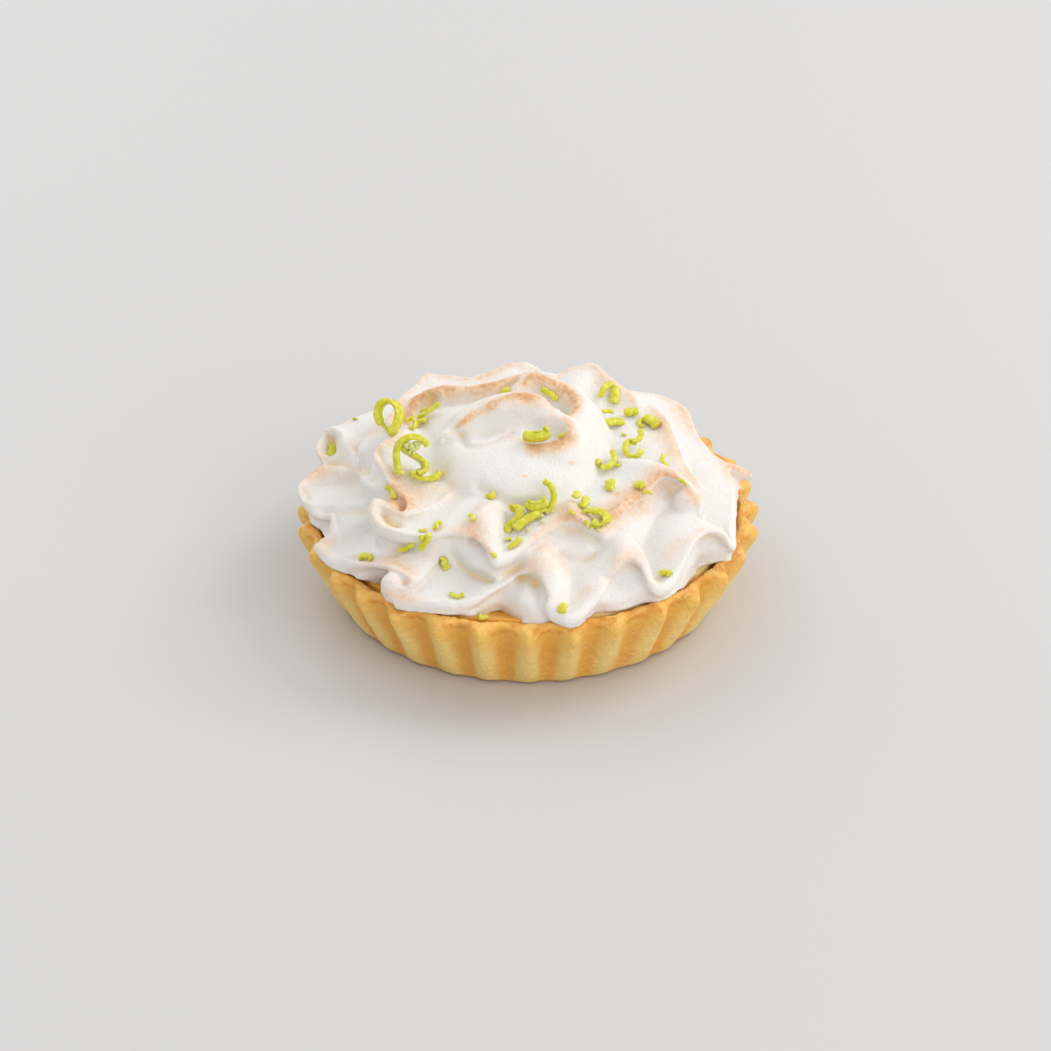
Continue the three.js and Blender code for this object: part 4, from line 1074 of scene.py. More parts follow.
def make_large_curl(name):
    foot, axis, bands = LARGE_CURLS[name]
    bm = bmesh.new()
    for k, (width, thick, route) in enumerate(bands):
        places = [np.add(foot, seen(*step)) for step in route]
        add_band(bm, places, width, thick, seen(*axis), rough=0.15, seed=k + len(route))
    return finish_piece(name + "_shaving", bm, "green_chocolate", name)


large_curls = [make_large_curl(name) for name in LARGE_CURLS]

# %% [markdown]
# The small shavings fell flat on the foam. Each has a place on it, and bands drawn flat, across and up as
# they are seen from the seat: first the curled ones, then short rods, then flakes.

# %% Small shavings
# Place, then bands: width, thickness, and points across, up and off the foam in mm.
CURLED = [
    ((17.5, 17.5, 33.5), [
        (1.3, 1, [(-2.1, 0, 1.2), (-1.3, 1.6, 1.5), (0, 2.6, 1.4), (1.1, 2.8, 0.9)]),
        (1.9, 0.9, [(1.1, 2.4, 0.9), (1.2, 0.6, 0.7), (1.1, -1, 0.4)]),
    ]),
    ((17.7, 8, 32.8), [
        (2, 1.1, [(-2.3, 0.3, 0.9), (-1.2, -0.3, 1.1), (0.6, 0, 1), (2.4, 0.2, 0.6)]),
        (1, 0.8, [(-2, 2.2, 0.7), (-0.8, 2.4, 0.8), (0.4, 2.2, 0.6)]),
    ]),
    ((26.4, 7.6, 33), [
        (2.3, 1.6, [(-1.6, 1, 0.8), (-0.2, 0.4, 0.9), (1.4, -0.9, 0.8)]),
        (1, 0.7, [(-1.4, 1.2, 0.4), (-2.5, 0.6, 0.5), (-2.6, -0.3, 0.5), (-1.8, -0.6, 0.4)]),
    ]),
    ((22, -2.6, 32.3), [
        (1.2, 0.9, [
            (0.9, 1.5, 0.6), (-0.8, 1.4, 1), (-1.7, 0.1, 1), (-0.8, -1.4, 0.9), (0.9, -1.5, 0.9),
            (1.8, -0.4, 1.2),
        ]),
        (1.2, 0.9, [(-0.4, 1.3, 1.4), (1, 1.7, 1.2), (1.8, 3, 0.9), (1.6, 4.4, 0.6)]),
    ]),
    ((16.5, -7.8, 32.6), [
        (1.2, 0.9, [(-2, -0.3, 0.5), (-0.7, -1.1, 0.6), (0.6, -0.7, 0.8), (1.4, 0.6, 0.9), (1.1, 2.3, 0.9)]),
        (1.5, 1, [(-1.9, 0.4, 0.6), (-1.4, -0.4, 0.6)]),
        (0.7, 0.6, [(1.4, -0.6, 0.4), (2.8, 0, 0.4)]),
    ]),
    ((28.6, -6.2, 31.9), [(0.9, 0.7, [(-0.3, 1.4, 0.4), (-0.6, 0.2, 0.4), (0.5, -1.2, 0.4)])]),
    ((-2, -25.4, 29.6), [
        (1.6, 0.9, [
            (-1.3, 1.7, 0.9), (-0.2, 2.2, 1.4), (0.8, 1.2, 1.5), (0, -0.3, 1.2), (-1.6, -1.3, 0.7),
            (-2.1, -2.4, 0.4),
        ]),
    ]),
    ((13.7, -25.7, 29.9), [
        (1.9, 1, [
            (-2.6, 0.7, 0.8), (-1.2, 1.4, 1), (1, 1.2, 1), (2.5, 0.1, 0.9), (1, -1.1, 0.9), (-0.6, -0.8, 1),
        ]),
        (1, 0.8, [(-2.4, -0.2, 0.5), (-0.8, -1.1, 0.5), (1, -1.4, 0.5)]),
    ]),
    ((-20.8, 5.6, 36), [
        (1.3, 1, [(-2, -0.4, 0.7), (-0.6, 0.1, 0.8), (1, 1.2, 0.8), (2.5, 2.6, 0.6)]),
        (1.3, 0.9, [(-2.6, -2.6, 0.5), (-1.6, -1.4, 0.8), (-0.2, -1.1, 0.7)]),
        (1, 0.8, [(-1.2, 1, 0.7), (-0.1, 1.4, 0.9)]),
    ]),
    ((-24.6, 2, 36), [
        (0.9, 0.8, [(-1.1, 0.4, 0.6), (0, 1, 0.8), (0.9, 0.2, 0.8), (0.6, -0.9, 0.6), (-0.3, -0.6, 0.6)]),
    ]),
    ((-27.6, -17.4, 31.4), [(1.4, 0.8, [(-1.1, 1.5, 0.5), (0.3, 0.7, 0.7), (0.4, -1.2, 0.5)])]),
    ((-20.6, -14.4, 33), [
        (1.1, 0.8, [(-2.6, 0.4, 0.6), (-0.9, -0.5, 0.7), (1.2, -0.2, 0.7), (2.6, 0.9, 0.6)]),
    ]),
]
# The end of the rolled curl at the right was caught by the flame.
SCORCHED_END = [(27.8, 5.8, 33.2), (28.6, 6.8, 34.0)]
RODS = [
    ((22, 10.4, 33.8), [(1.9, 1.5, [(-1.6, -0.1, 0.8), (0, 0.1, 0.8), (1.6, 0.3, 0.8)])]),
    ((0.4, -25.6, 29.9), [(1.7, 1.4, [(-3, -2.2, 0.9), (-0.6, -0.6, 1.2), (2, 1, 1)])]),
    ((4.7, 8.9, 39.8), [(1.3, 1.1, [(-1.6, 1.1, 0.5), (0.2, 0.1, 0.6), (1.8, -1.1, 0.5)])]),
    ((-4.3, 11.1, 39), [(1.2, 1, [(-1.2, -0.6, 0.4), (0.8, 0.2, 0.4)])]),
    ((-2.7, -32.6, 28.6), [(1.1, 0.9, [(-1.2, -1, 0.5), (0.2, -0.1, 0.6), (1.4, 1, 0.5)])]),
    ((-24.4, -29.4, 26), [(1, 0.8, [(-1.6, -0.5, 0.5), (0, -0.2, 0.6), (1.6, 0.8, 0.5)])]),
    ((-20.8, -30.5, 28.4), [
        (1.3, 1, [(-1, -1.6, 0.9), (0.2, 0, 0.8), (1, 1.6, 0.6)]),
        (1, 0.9, [(-1.2, 0.6, 0.7), (-0.4, 1.2, 0.7)]),
    ]),
    ((-17.9, -28.5, 30), [(1.2, 0.9, [(-0.7, -0.6, 0.5), (0.6, 0.9, 0.6)])]),
    ((16.9, -15.9, 31.8), [(1.9, 1.3, [(-0.4, -0.9, 0.7), (0, 1, 0.7)])]),
    ((22.9, -16.7, 32), [
        (1.7, 1.2, [(-1.1, 0.2, 0.6), (1, 0, 0.7)]),
        (0.6, 0.5, [(0.6, -1, 0.3), (2.6, -1.2, 0.3)]),
    ]),
    ((10.4, -21.2, 31.2), [
        (1.4, 0.9, [(-1.2, 0.9, 0.6), (-0.6, 2, 0.6)]),
        (1.6, 1, [(0.2, -1, 0.6), (1.1, 0.9, 0.7)]),
    ]),
    ((7.2, -46, 21.6), [(1.6, 1.1, [(-0.5, -0.7, 0.5), (0.3, 0.8, 0.6)])]),
    ((7.3, -6, 38.4), [(0.9, 0.7, [(-0.8, -0.3, 0.3), (0.8, 0.5, 0.3)])]),
]
# Flakes have one straight band: place, width, thickness and its two ends.
FLAKES = [
    ((-42.3, 11.2, 24.4), 1.9, 0.6, (-0.5, -1.1, 0.3), (0.5, 1.1, 0.3)),
    ((-37.2, 18.3, 28), 0.6, 0.4, (-0.5, 0, 0.2), (0.5, 0, 0.2)),
    ((-6.7, -36.2, 28.6), 1.1, 0.6, (-0.6, 0.2, 0.3), (0.6, -0.3, 0.3)),
    ((-3.9, -31.4, 28.6), 1, 0.6, (-0.5, 0, 0.3), (0.6, 0.2, 0.3)),
    ((-7.5, -19.4, 32), 1.3, 0.8, (-1, -0.2, 0.5), (0.9, 0.3, 0.6)),
    ((31.8, -15.8, 33), 0.6, 0.5, (-0.7, 0.5, 0.2), (0.8, -0.6, 0.2)),
    ((-21.2, -28.9, 29.6), 0.8, 0.5, (-0.7, 0, 0.3), (0.8, 0.1, 0.3)),
    ((-11.2, -28.3, 32.2), 0.9, 0.5, (-0.3, 0.7, 0.3), (0.3, -0.7, 0.3)),
    ((-16.5, -31.6, 23.4), 1.6, 0.7, (-0.4, 1.1, 0.4), (0.4, -1.2, 0.4)),
    ((-32.9, -28.2, 22.4), 1.2, 0.7, (-1.4, 0.1, 0.4), (1.4, -0.1, 0.4)),
    ((-14.2, -39.8, 21.2), 1, 0.6, (-1.4, 0.2, 0.4), (1.4, -0.1, 0.4)),
    ((27.8, -34.2, 22.2), 1.6, 0.8, (-1.1, 0.2, 0.4), (1.1, -0.1, 0.4)),
    ((-9, -39.9, 16.2), 1.2, 0.7, (-0.9, 0, 0.3), (0.9, 0, 0.3)),
    ((9, -24.6, 31), 0.8, 0.6, (-0.5, 0.2, 0.3), (0.5, -0.2, 0.3)),
    ((20.4, 3.4, 33), 0.6, 0.4, (-0.4, 0.2, 0.2), (0.4, -0.2, 0.2)),
    ((3.4, 22, 34.6), 1.1, 0.7, (-1, 0.1, 0.4), (1.1, -0.1, 0.4)),
]
print("curls, rods and flakes:", len(CURLED), len(RODS), len(FLAKES))

# %% [markdown]
# To lay them down, the foam under each place is looked up by a ray that comes from the seat. A shaving stays
# stiff: it is turned onto the mean slope of the foam round its place, and it is lifted a little where the
# foam rises under its ends.

# %% Laying the shavings
# How far in front of a place the ray starts, and how far it may reach, in mm.
RAY_START, RAY_REACH = 6, 11
# A band is a little wider and thinner than listed, and a straight one is bent by a share of its length.
WIDER, THINNER, BEND = 1.08, 0.8, 0.2
# A shaving is lifted by this share of the highest rise of the foam under it, up to a rise in mm.
LIFT, HIGHEST_RISE = 0.5, 1.5


def ground_tree():
    """The foam and the custard as one surface to lay things on."""
    ground = bmesh.new()
    ground.from_mesh(meringue_mesh)
    ground.from_mesh(custard_piece.data)
    tree = BVHTree.FromBMesh(ground)
    ground.free()
    return tree


FOAM = ground_tree()


def on_foam(place, across=0.0, up=0.0):
    """The foam in mm and its outward direction, across and up from a place as seen from the seat."""
    start = np.add(place, seen(across, up, RAY_START)) * MM
    hit, normal, _, far = FOAM.ray_cast(Vector(start), Vector(-LEAN_FORWARD))
    if hit is None or far > RAY_REACH * MM:
        hit, normal, _, _ = FOAM.find_nearest(Vector(start - RAY_START * LEAN_FORWARD * MM))
    return np.array(hit) / MM, np.array(normal)


def lying_at(place):
    """Where a shaving lies: its place on the foam and its own right, up and outward directions."""
    found = [on_foam(place, x, y) for x, y in ((0, 0), (1.2, 0), (-1.2, 0), (0, 1.2), (0, -1.2))]
    out = unit(np.mean([normal for _, normal in found], axis=0))
    facing = max(out @ LEAN_FORWARD, 0.4)
    right, up = (d - LEAN_FORWARD * np.clip(d @ out / facing, -1, 1) for d in (RIGHT, LEAN_UP))
    return found[0][0], right, up, out


def bent(route, k):
    """A route of two points with its middle moved aside, to alternate sides."""
    if len(route) > 2:
        return route
    (x0, y0, lift0), (x1, y1, lift1) = route
    aside = BEND * (-1) ** k
    middle = 0.5 * (x0 + x1) + aside * (y1 - y0), 0.5 * (y0 + y1) + aside * (x0 - x1), 0.1 + max(lift0, lift1)
    return [route[0], middle, route[1]]


def make_shavings(name, shavings, rough):
    bm = bmesh.new()
    for k, (place, bands) in enumerate(shavings):
        bands = [(WIDER * width, THINNER * thick, bent(route, k)) for width, thick, route in bands]
        base, right, up, out = lying_at(place)
        flat = [[x * right + y * up + lift * out for x, y, lift in route] for _, _, route in bands]
        rises = [
            (on_foam(place, x, y)[0] - base - x * right - y * up) @ LEAN_FORWARD
            for _, _, route in bands for x, y, _ in route
        ]
        base = base + LEAN_FORWARD * LIFT * np.clip(max(rises), 0, HIGHEST_RISE)
        for (width, thick, _), steps in zip(bands, flat):
            axis = np.cross(steps[-1] - steps[0], out) + 0.5 * out
            add_band(bm, [base + step for step in steps], width, thick, axis, rough=rough, seed=k, steps=24)
    return finish_piece(name, bm, "green_chocolate")


flakes = [(place, [(width, thick, ends)]) for place, width, thick, *ends in FLAKES]
small_shavings = [
    make_shavings("small_curls", CURLED, 0.3), make_shavings("small_rods", RODS, 0.35),
    make_shavings("small_flakes", flakes, 0.7),
]
curls_mesh = small_shavings[0].data
store(curls_mesh, "scorched", nearness(points_of(curls_mesh), SCORCHED_END, 0.85))

# %% [markdown]
# Where the blade broke the chocolate it left pale crumbs, and coarse sugar clings to the rim of the case.
# Both are small rough lumps: a sphere of eighty faces, pushed about by noise.

# %% Crumbs and sugar
def add_lump(bm, place, size, seed):
    for vert in bmesh.ops.create_icosphere(bm, subdivisions=2, radius=1)["verts"]:
        bend = 1 + 0.9 * noise.noise(vert.co * 1.3 + Vector((seed * 3.7, 0.4, 0)))
        vert.co = (Vector(place) + vert.co * bend * size * 0.5) * MM


# Where there are crumbs, then each of them: across, up and forward, and its size. All in mm.
LOOSE_CRUMBS = [
    ((-24.5, -14.3, 34.7), [
        (-0.4, 5.4, 0.3, 1.2), (0, 5.9, 0.2, 1.0), (0.6, 5.3, 0.4, 1.1), (1, 4.6, 0.3, 1.3), (1.7, 5, 0, 1.2),
        (2.3, 5.7, -0.3, 1.1), (0.4, 4.1, 0.3, 1.0), (1.5, 5.8, 0, 1.0), (1.1, 3.8, 0.4, 0.9),
        (-2.1, -0.4, 0.8, 1), (-1.2, -0.3, 0.8, 0.9),
    ]),
    ((3.2, -23.4, 30.7), [
        (-0.4, 0.2, 1.2, 0.8), (0.8, 0.1, 1.1, 0.9), (1.8, 0.2, 0.9, 0.7), (-2.2, 0.2, 0.8, 0.7),
    ]),
]
# The same for crumbs that lie on the foam: across, up and size.
LYING_CRUMBS = [
    ((13.7, -25.7, 29.9), [(-0.8, -1.6, 0.7), (0.6, -1.8, 0.8), (1.6, -0.6, 0.6), (-1.6, -1, 0.7)]),
    ((0.4, -25.6, 29.9), [(1.6, 1.8, 1.4), (2.4, 1.2, 1), (2.6, 0, 0.8), (-0.4, -1.9, 0.8)]),
]
CRUMB_LIFT = 0.8
# Grains at the right of the rim: their mean angle and its spread in degrees, their reach and their size.
SUGAR_GRAINS, SUGAR_SINK = 40, 0.03
SUGAR_ANGLE, SUGAR_REACH, SUGAR_SIZE = (345, 16), (45.4, 48.2), (0.28, 0.5)


def make_crumbs():
    bm = bmesh.new()
    for foot, crumbs in LOOSE_CRUMBS:
        for k, (*step, size) in enumerate(crumbs):
            add_lump(bm, np.add(foot, seen(*step)), size, k)
    for place, crumbs in LYING_CRUMBS:
        for across, up, size in crumbs:
            add_lump(bm, on_foam(place, across, up)[0] + LEAN_FORWARD * CRUMB_LIFT, size, across)
    return finish_piece("pale_crumbs", bm, "green_chocolate")


def make_sugar():
    crust = bmesh.new()
    crust.from_mesh(crust_mesh)
    tree = BVHTree.FromBMesh(crust)
    crust.free()
    bm = bmesh.new()
    down, above = Vector((0, 0, -1)), 30
    for k in range(SUGAR_GRAINS):
        turn = math.radians(rng.normal(*SUGAR_ANGLE))
        reach = rng.uniform(*SUGAR_REACH)
        start = Vector((reach * math.cos(turn), reach * math.sin(turn), above)) * MM
        hit, normal, _, _ = tree.ray_cast(start, down)
        if hit is not None and FOAM.ray_cast(hit + normal * 0.3 * MM, -down)[0] is None:
            add_lump(bm, hit / MM - normal * SUGAR_SINK, rng.uniform(*SUGAR_SIZE), k)
    return finish_piece("sugar_grains", bm, "crust")


crumbs_piece, sugar_piece = make_crumbs(), make_sugar()

# %% [markdown]
# ## Materials
# Each finish is a node tree on Object coordinates and on the values stored on the mesh. A few short functions
# add a node, set its inputs and link it, so that a material reads like a recipe.

# %% Node helpers
def feed(socket, value):
    """Links an input to an output, or sets it to a plain value."""
    if isinstance(value, bpy.types.NodeSocket):
        socket.id_data.links.new(value, socket)
    else:
        socket.default_value = value


def set_inputs(node, **values):
    for key, value in values.items():
        feed(node.inputs[key.replace("_", " ")], value)
    return node


def add_node(tree, kind, settings=None, **values):
    node = tree.nodes.new(kind)
    for key, value in (settings or {}).items():
        setattr(node, key, value)
    return set_inputs(node, **values)


def mix_colour(tree, factor, a, b):
    """Colour a, and colour b where the factor is one."""
    node = add_node(tree, "ShaderNodeMix", dict(data_type="RGBA"))
    for k, value in ((0, factor), (6, a), (7, b)):
        feed(node.inputs[k], (*value, 1) if isinstance(value, tuple) else value)
    return node.outputs[2]


def remap(tree, value, low, high, out_low=0.0, out_high=1.0):
    """A value from one range in another range, with soft ends."""
    node = add_node(tree, "ShaderNodeMapRange", dict(interpolation_type="SMOOTHSTEP"))
    for socket, given in zip(node.inputs, (value, low, high, out_low, out_high)):
        feed(socket, given)
    return node.outputs[0]


def maths(tree, operation, a, b):
    node = add_node(tree, "ShaderNodeMath", dict(operation=operation))
    feed(node.inputs[0], a)
    feed(node.inputs[1], b)
    return node.outputs[0]


def product(tree, a, b):
    return maths(tree, "MULTIPLY", a, b)


def attribute(tree, name):
    return add_node(tree, "ShaderNodeAttribute", dict(attribute_name=name)).outputs["Fac"]


def noise_value(tree, vector, scale, detail, roughness=0.5):
    values = dict(Vector=vector, Scale=scale, Detail=detail, Roughness=roughness)
    return add_node(tree, "ShaderNodeTexNoise", **values).outputs["Fac"]

# %% [markdown]
# Two effects are used by several materials, so each is a node group, which is one node with a few inputs of
# its own: a fine grain for bumps, and soft blotches that vary a colour.

# %% Shared groups
def new_group(name, output, **inputs):
    """A node group with one number as its output; an input is a number if its default is one."""
    group = bpy.data.node_groups.new(name, "ShaderNodeTree")
    for label, default in inputs.items():
        kind = "NodeSocketVector" if default is None else "NodeSocketFloat"
        socket = group.interface.new_socket(label, in_out="INPUT", socket_type=kind)
        if default is not None:
            socket.default_value = default
    group.interface.new_socket(output, in_out="OUTPUT", socket_type="NodeSocketFloat")
    given, result = group.nodes.new("NodeGroupInput"), group.nodes.new("NodeGroupOutput")
    return group, given.outputs, result.inputs[output]


def make_grain_group():
    """Fine grain: two sizes of noise as one height."""
    group, given, result = new_group("grain", "Height", Vector=None, Coarse=800.0, Fine=3000.0, Share=0.4)
    coarse = noise_value(group, given["Vector"], given["Coarse"], 2.0)
    fine = noise_value(group, given["Vector"], given["Fine"], 3.0, 0.6)
    feed(result, maths(group, "ADD", coarse, product(group, fine, given["Share"])))
    return group


def make_blotch_group():
    """Soft blotches: a noise mask between two levels."""
    group, given, result = new_group("blotches", "Mask", Vector=None, Scale=200.0, Low=0.4, High=0.6)
    value = noise_value(group, given["Vector"], given["Scale"], 4.0, 0.55)
    feed(result, remap(group, value, given["Low"], given["High"]))
    return group


GRAIN, BLOTCHES = make_grain_group(), make_blotch_group()
print("groups:", GRAIN.name, "and", BLOTCHES.name)


def grain(tree, vector, coarse, fine, share):
    sizes = dict(Vector=vector, Coarse=coarse, Fine=fine, Share=share)
    return add_node(tree, "ShaderNodeGroup", dict(node_tree=GRAIN), **sizes).outputs["Height"]


def blotches(tree, vector, scale, low, high):
    levels = dict(Vector=vector, Scale=scale, Low=low, High=high)
    return add_node(tree, "ShaderNodeGroup", dict(node_tree=BLOTCHES), **levels).outputs["Mask"]


def new_material(name):
    """A material, its node tree, its Object coordinates and its surface."""
    material = bpy.data.materials.new(name)
    material.use_nodes = True
    tree = material.node_tree
    place = tree.nodes.new("ShaderNodeTexCoord").outputs["Object"]
    return material, tree, place, tree.nodes["Principled BSDF"]


def bump(tree, height, strength, distance):
    node = add_node(tree, "ShaderNodeBump", Height=height, Strength=strength, Distance=distance)
    return node.outputs["Normal"]


def let_light_in(surface, weight, radius, scale):
    """Light spreads under a surface: its share, its reach for red, green and blue, and its scale in metres."""
    set_inputs(surface, Subsurface_Weight=weight, Subsurface_Radius=radius, Subsurface_Scale=scale)


def dress(material, *pieces):
    for piece in pieces:
        piece.data.materials.append(material)
    print(material.name, "of", len(material.node_tree.nodes), "nodes on", *(piece.name for piece in pieces))

# %% [markdown]
# ### Baked shortcrust
# The ridges of the flutes are painted paler, as a painted highlight, and their hollows a darker gold, as
# painted shade; the upper wall is golden. It browns first where it is thin: in patches on the rim and in a
# band just below it. The foot, which stood on hot metal, is the darkest. The surface is dry, with pores, fine
# grain and a few dark specks.

# %% Crust material
# Colours of the ridges and the hollows, which carry painted highlight and painted shade, of the upper wall
# and the rim, then of browned dough, the foot and specks.
PALE_LIT_RIDGE, GOLDEN_SHADED_HOLLOW, UPPER, RIM = (0.98, 0.70, 0.23), (0.90, 0.45, 0.075), (0.97, 0.53, 0.085), (0.99, 0.54, 0.13)
BROWNED, FOOT, SPECK = (0.76, 0.30, 0.028), (0.52, 0.19, 0.03), (0.30, 0.11, 0.03)


def crust_material():
    material, tree, place, surface = new_material("baked_shortcrust")
    ridge = attribute(tree, "ridge")
    patches = noise_value(tree, place, 240.0, 4.0, 0.55)
    # The ridges get a painted highlight and the hollows painted shade, blotched by the patches.
    hollow = remap(tree, maths(tree, "ADD", ridge, product(tree, patches, 1.2)), -0.2, 1.25, 1.0, 0.0)
    colour = mix_colour(tree, hollow, PALE_LIT_RIDGE, GOLDEN_SHADED_HOLLOW)
    height = add_node(tree, "ShaderNodeSeparateXYZ", Vector=place).outputs["Z"]

    def between(low, high, start=0.0, end=1.0):
        """A value that changes between two shares of the height of the rim."""
        return remap(tree, height, low * RIM_HEIGHT * MM, high * RIM_HEIGHT * MM, start, end)

    colour = mix_colour(tree, between(0.5, 0.88, end=0.7), colour, UPPER)
    top = between(0.88, 0.98)
    colour = mix_colour(tree, product(tree, top, blotches(tree, place, 420.0, 0.4, 0.6)), colour, RIM)
    toasted = product(tree, top, blotches(tree, place, 290.0, 0.42, 0.62))
    edge = product(tree, attribute(tree, "browned"), blotches(tree, place, 700.0, 0.34, 0.52))
    colour = mix_colour(tree, product(tree, maths(tree, "MAXIMUM", edge, toasted), 0.85), colour, BROWNED)
    colour = mix_colour(tree, between(0.0, 0.07, 0.9, 0.0), colour, FOOT)
    specks = blotches(tree, place, 1500.0, 0.69, 0.75)
    colour = mix_colour(tree, product(tree, specks, 0.6), colour, SPECK)
    normal = bump(tree, grain(tree, place, 1000.0, 3400.0, 0.5), 0.85, 0.0006)
    set_inputs(surface, Base_Color=colour, Roughness=0.48, Normal=normal)
    let_light_in(surface, 0.12, (1.0, 0.5, 0.25), 0.0012)
    return material


dress(crust_material(), crust_piece)

# %% [markdown]
# ### Custard
# Custard is smooth and slightly glossy, and light goes some way into it. It is painted a deep amber on the
# left and in front, as painted shade where the ruffle shades it, and a paler yellow on the right, with soft
# blotches in both.

# %% Custard material
YELLOW, DEEP_YELLOW, SHADED_AMBER = (0.97, 0.72, 0.32), (0.92, 0.60, 0.18), (0.78, 0.38, 0.035)
# Where the painted shade of amber gives way to yellow, from left to right in metres.
SHADED_AMBER_END, YELLOW_START = -0.002, 0.012


def custard_material():
    material, tree, place, surface = new_material("set_custard")
    colour = mix_colour(tree, blotches(tree, place, 300.0, 0.35, 0.65), YELLOW, DEEP_YELLOW)
    across = add_node(tree, "ShaderNodeSeparateXYZ", Vector=place).outputs["X"]
    # Painted shade: amber on the left, where the ruffle shades the custard.
    colour = mix_colour(tree, remap(tree, across, SHADED_AMBER_END, YELLOW_START, 1.0, 0.0), colour, SHADED_AMBER)
    normal = bump(tree, grain(tree, place, 300.0, 1500.0, 0.2), 0.2, 0.0004)
    set_inputs(surface, Base_Color=colour, Roughness=0.35, Normal=normal)
    let_light_in(surface, 0.3, (1.0, 0.6, 0.25), 0.002)
    return material


dress(custard_material(), custard_piece)

# %% [markdown]
# ### Toasted meringue
# The foam is white with a satin sheen, and its hollows are painted a darker, warm yellow, as painted shade and
# a painted glow. A flame turns it peach, then toasts it, and browns it where the heat was strongest. How deep
# and how hot each place is was stored on the mesh, so the material only turns those values into colours, with
# a fine mottle in the heat.

# %% Meringue material
WHITE, HOLLOW_SHADE_CREAM, PAINTED_GLOW = (0.85, 0.815, 0.78), (0.90, 0.78, 0.56), (0.93, 0.70, 0.30)
PEACH, TOAST, BROWN = (0.86, 0.64, 0.46), (0.72, 0.40, 0.19), (0.42, 0.18, 0.07)
# Painted shade and glow of the hollows: the depth in mm at which each colour starts and at which it is
# complete, its share then, and the colour.
PAINTED_HOLLOW_COLOURS = [(0.16, 0.7, 0.7, HOLLOW_SHADE_CREAM), (0.55, 1.1, 0.8, PAINTED_GLOW)]
# The same for heat.
HEAT_COLOURS = [(0.05, 0.55, 1.0, PEACH), (0.4, 0.95, 1.0, TOAST), (0.95, 1.5, 0.8, BROWN)]


def meringue_material():
    material, tree, place, surface = new_material("toasted_meringue")
    mottle = remap(tree, noise_value(tree, place, 900.0, 5.0, 0.65), 0.3, 0.7, 0.72, 1.28)
    heat = product(tree, attribute(tree, "toast"), mottle)
    colour = WHITE
    # Deep places get painted shade and a painted warm glow.
    for low, high, share, shade in PAINTED_HOLLOW_COLOURS:
        depth = remap(tree, attribute(tree, "hollow"), low, high, 0.0, share)
        colour = mix_colour(tree, depth, colour, shade)
    for low, high, share, shade in HEAT_COLOURS:
        colour = mix_colour(tree, remap(tree, heat, low, high, 0.0, share), colour, shade)
    normal = bump(tree, grain(tree, place, 1700.0, 4200.0, 0.5), 0.55, 0.0004)
    set_inputs(surface, Base_Color=colour, Roughness=0.5, Normal=normal)
    let_light_in(surface, 0.3, (1.0, 0.72, 0.45), 0.0018)
    return material


dress(meringue_material(), meringue_piece)

# %% [markdown]
# ### Green chocolate and sugar
# The chocolate is waxy and a little translucent, with paler blotches where the blade dried it. One small curl
# has a scorched end, which was stored on its mesh. Freshly broken crumbs are duller and paler, and the grains
# of sugar take on the gold of the crust under them.

# %% Chocolate material
GREEN, DRY_GREEN, SCORCHED = (0.60, 0.575, 0.012), (0.76, 0.73, 0.11), (0.45, 0.20, 0.04)
CRUMB_COLOUR, SUGAR_COLOUR = (0.74, 0.72, 0.28, 1), (0.95, 0.70, 0.36, 1)


def chocolate_material():
    material, tree, place, surface = new_material("green_chocolate")
    colour = mix_colour(tree, blotches(tree, place, 900.0, 0.4, 0.7), GREEN, DRY_GREEN)
    colour = mix_colour(tree, attribute(tree, "scorched"), colour, SCORCHED)
    normal = bump(tree, grain(tree, place, 1500.0, 5000.0, 0.4), 0.25, 0.0002)
    set_inputs(surface, Base_Color=colour, Roughness=0.38, Normal=normal)
    let_light_in(surface, 0.4, (1.0, 0.9, 0.2), 0.0012)
    return material


def crumb_material():
    material, _, _, surface = new_material("broken_chocolate")
    set_inputs(surface, Base_Color=CRUMB_COLOUR, Roughness=0.6)
    return material


def sugar_material():
    material, _, _, surface = new_material("sugar")
    set_inputs(surface, Base_Color=SUGAR_COLOUR, Roughness=0.5)
    set_inputs(surface, Subsurface_Weight=0.4, Subsurface_Scale=0.0006)
    return material


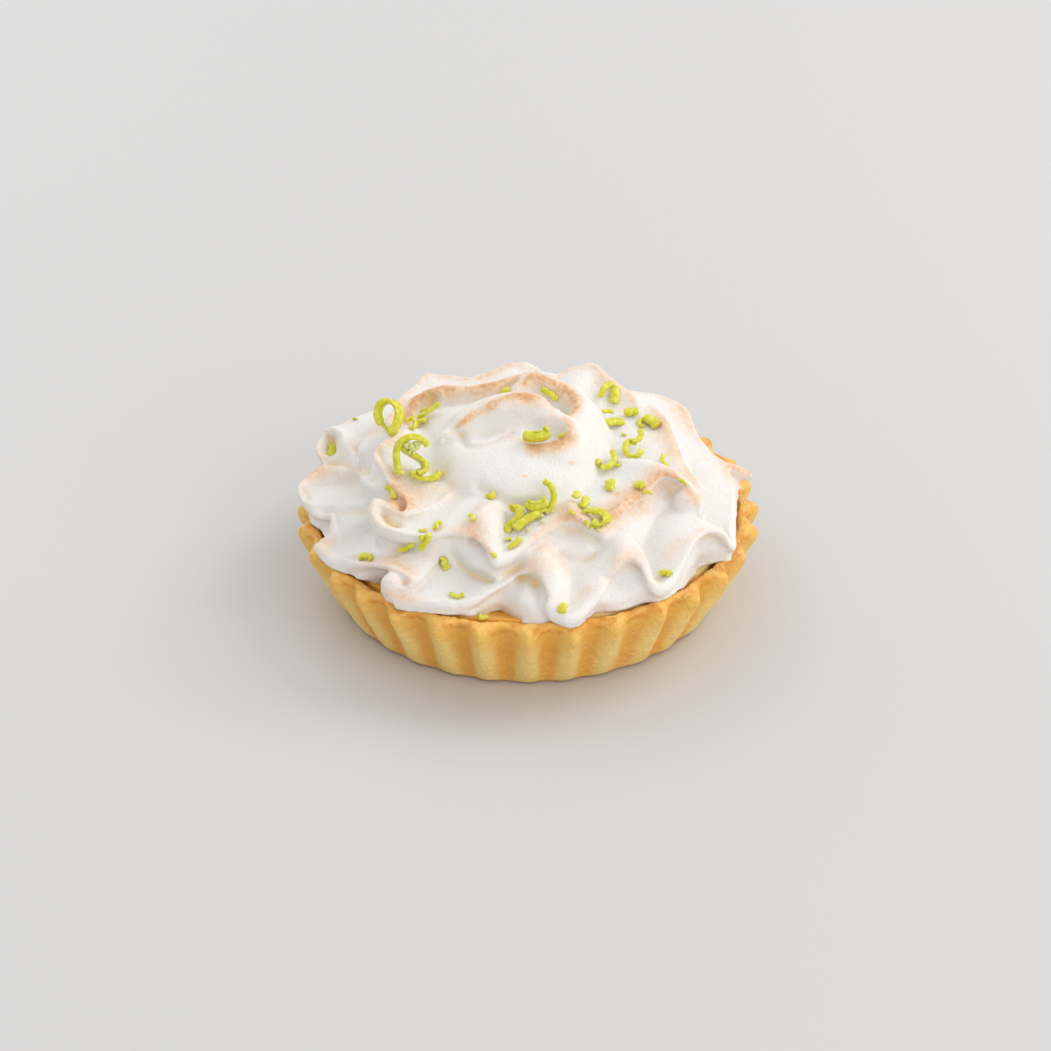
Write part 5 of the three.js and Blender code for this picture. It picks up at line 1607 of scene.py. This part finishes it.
dress(chocolate_material(), *large_curls, *small_shavings)
dress(crumb_material(), crumbs_piece)
dress(sugar_material(), sugar_piece)

# %% [markdown]
# ## Floor and light
# The tart stands on a plain pale floor, so much wider than the tart that its edges stay out of view. The
# floor is not attached to the body of the tart.

# %% Floor
FLOOR_HALF = 1.5
FLOOR_COLOUR = (0.60, 0.593, 0.585, 1)


def make_floor():
    bm = bmesh.new()
    bmesh.ops.create_grid(bm, x_segments=1, y_segments=1, size=FLOOR_HALF)
    floor = add_object("floor", mesh_of("floor", bm))
    material, _, _, surface = new_material("pale_floor")
    set_inputs(surface, Base_Color=FLOOR_COLOUR, Roughness=0.5)
    floor.data.materials.append(material)
    print("floor of", 2 * FLOOR_HALF, "m")


make_floor()

# %% [markdown]
# Three broad area lights look at the tart, because soft food needs soft edges to its shadows: a window behind
# it on the right, a wider and weaker light behind it on the left, and a pale wall that gives light back from
# the front. Pale surroundings fill the shade.

# %% Lights
# Name, place and size in metres, power in watts and colour.
LIGHTS = [
    ("window", (0.75, 0.36, 0.74), 0.6, 4.3, (1.0, 0.985, 0.965)),
    ("sky_behind", (-0.5, 0.62, 0.6), 0.9, 2.2, (1.0, 1.0, 1.0)),
    ("pale_wall", (0.7, -0.8, 0.5), 0.9, 3.8, (1.0, 0.985, 0.96)),
]
SURROUNDINGS, SURROUNDINGS_STRENGTH = (0.98, 0.985, 1.0, 1), 0.77


def add_area(name, place, size, power, colour):
    light = bpy.data.lights.new(name, "AREA")
    light.size = size
    light.energy = power
    light.color = colour
    holder = add_object(name, light)
    holder.location = place
    holder.rotation_euler = looking_from(Vector(place) - CAMERA_AIM)


def add_surroundings():
    world = bpy.data.worlds.new("world")
    bpy.context.scene.world = world
    world.use_nodes = True
    background = world.node_tree.nodes["Background"]
    set_inputs(background, Color=SURROUNDINGS, Strength=SURROUNDINGS_STRENGTH)


for light_values in LIGHTS:
    add_area(*light_values)
add_surroundings()
bpy.context.scene.view_settings.view_transform = "Standard"
print("lights:", *(name for name, *_ in LIGHTS))
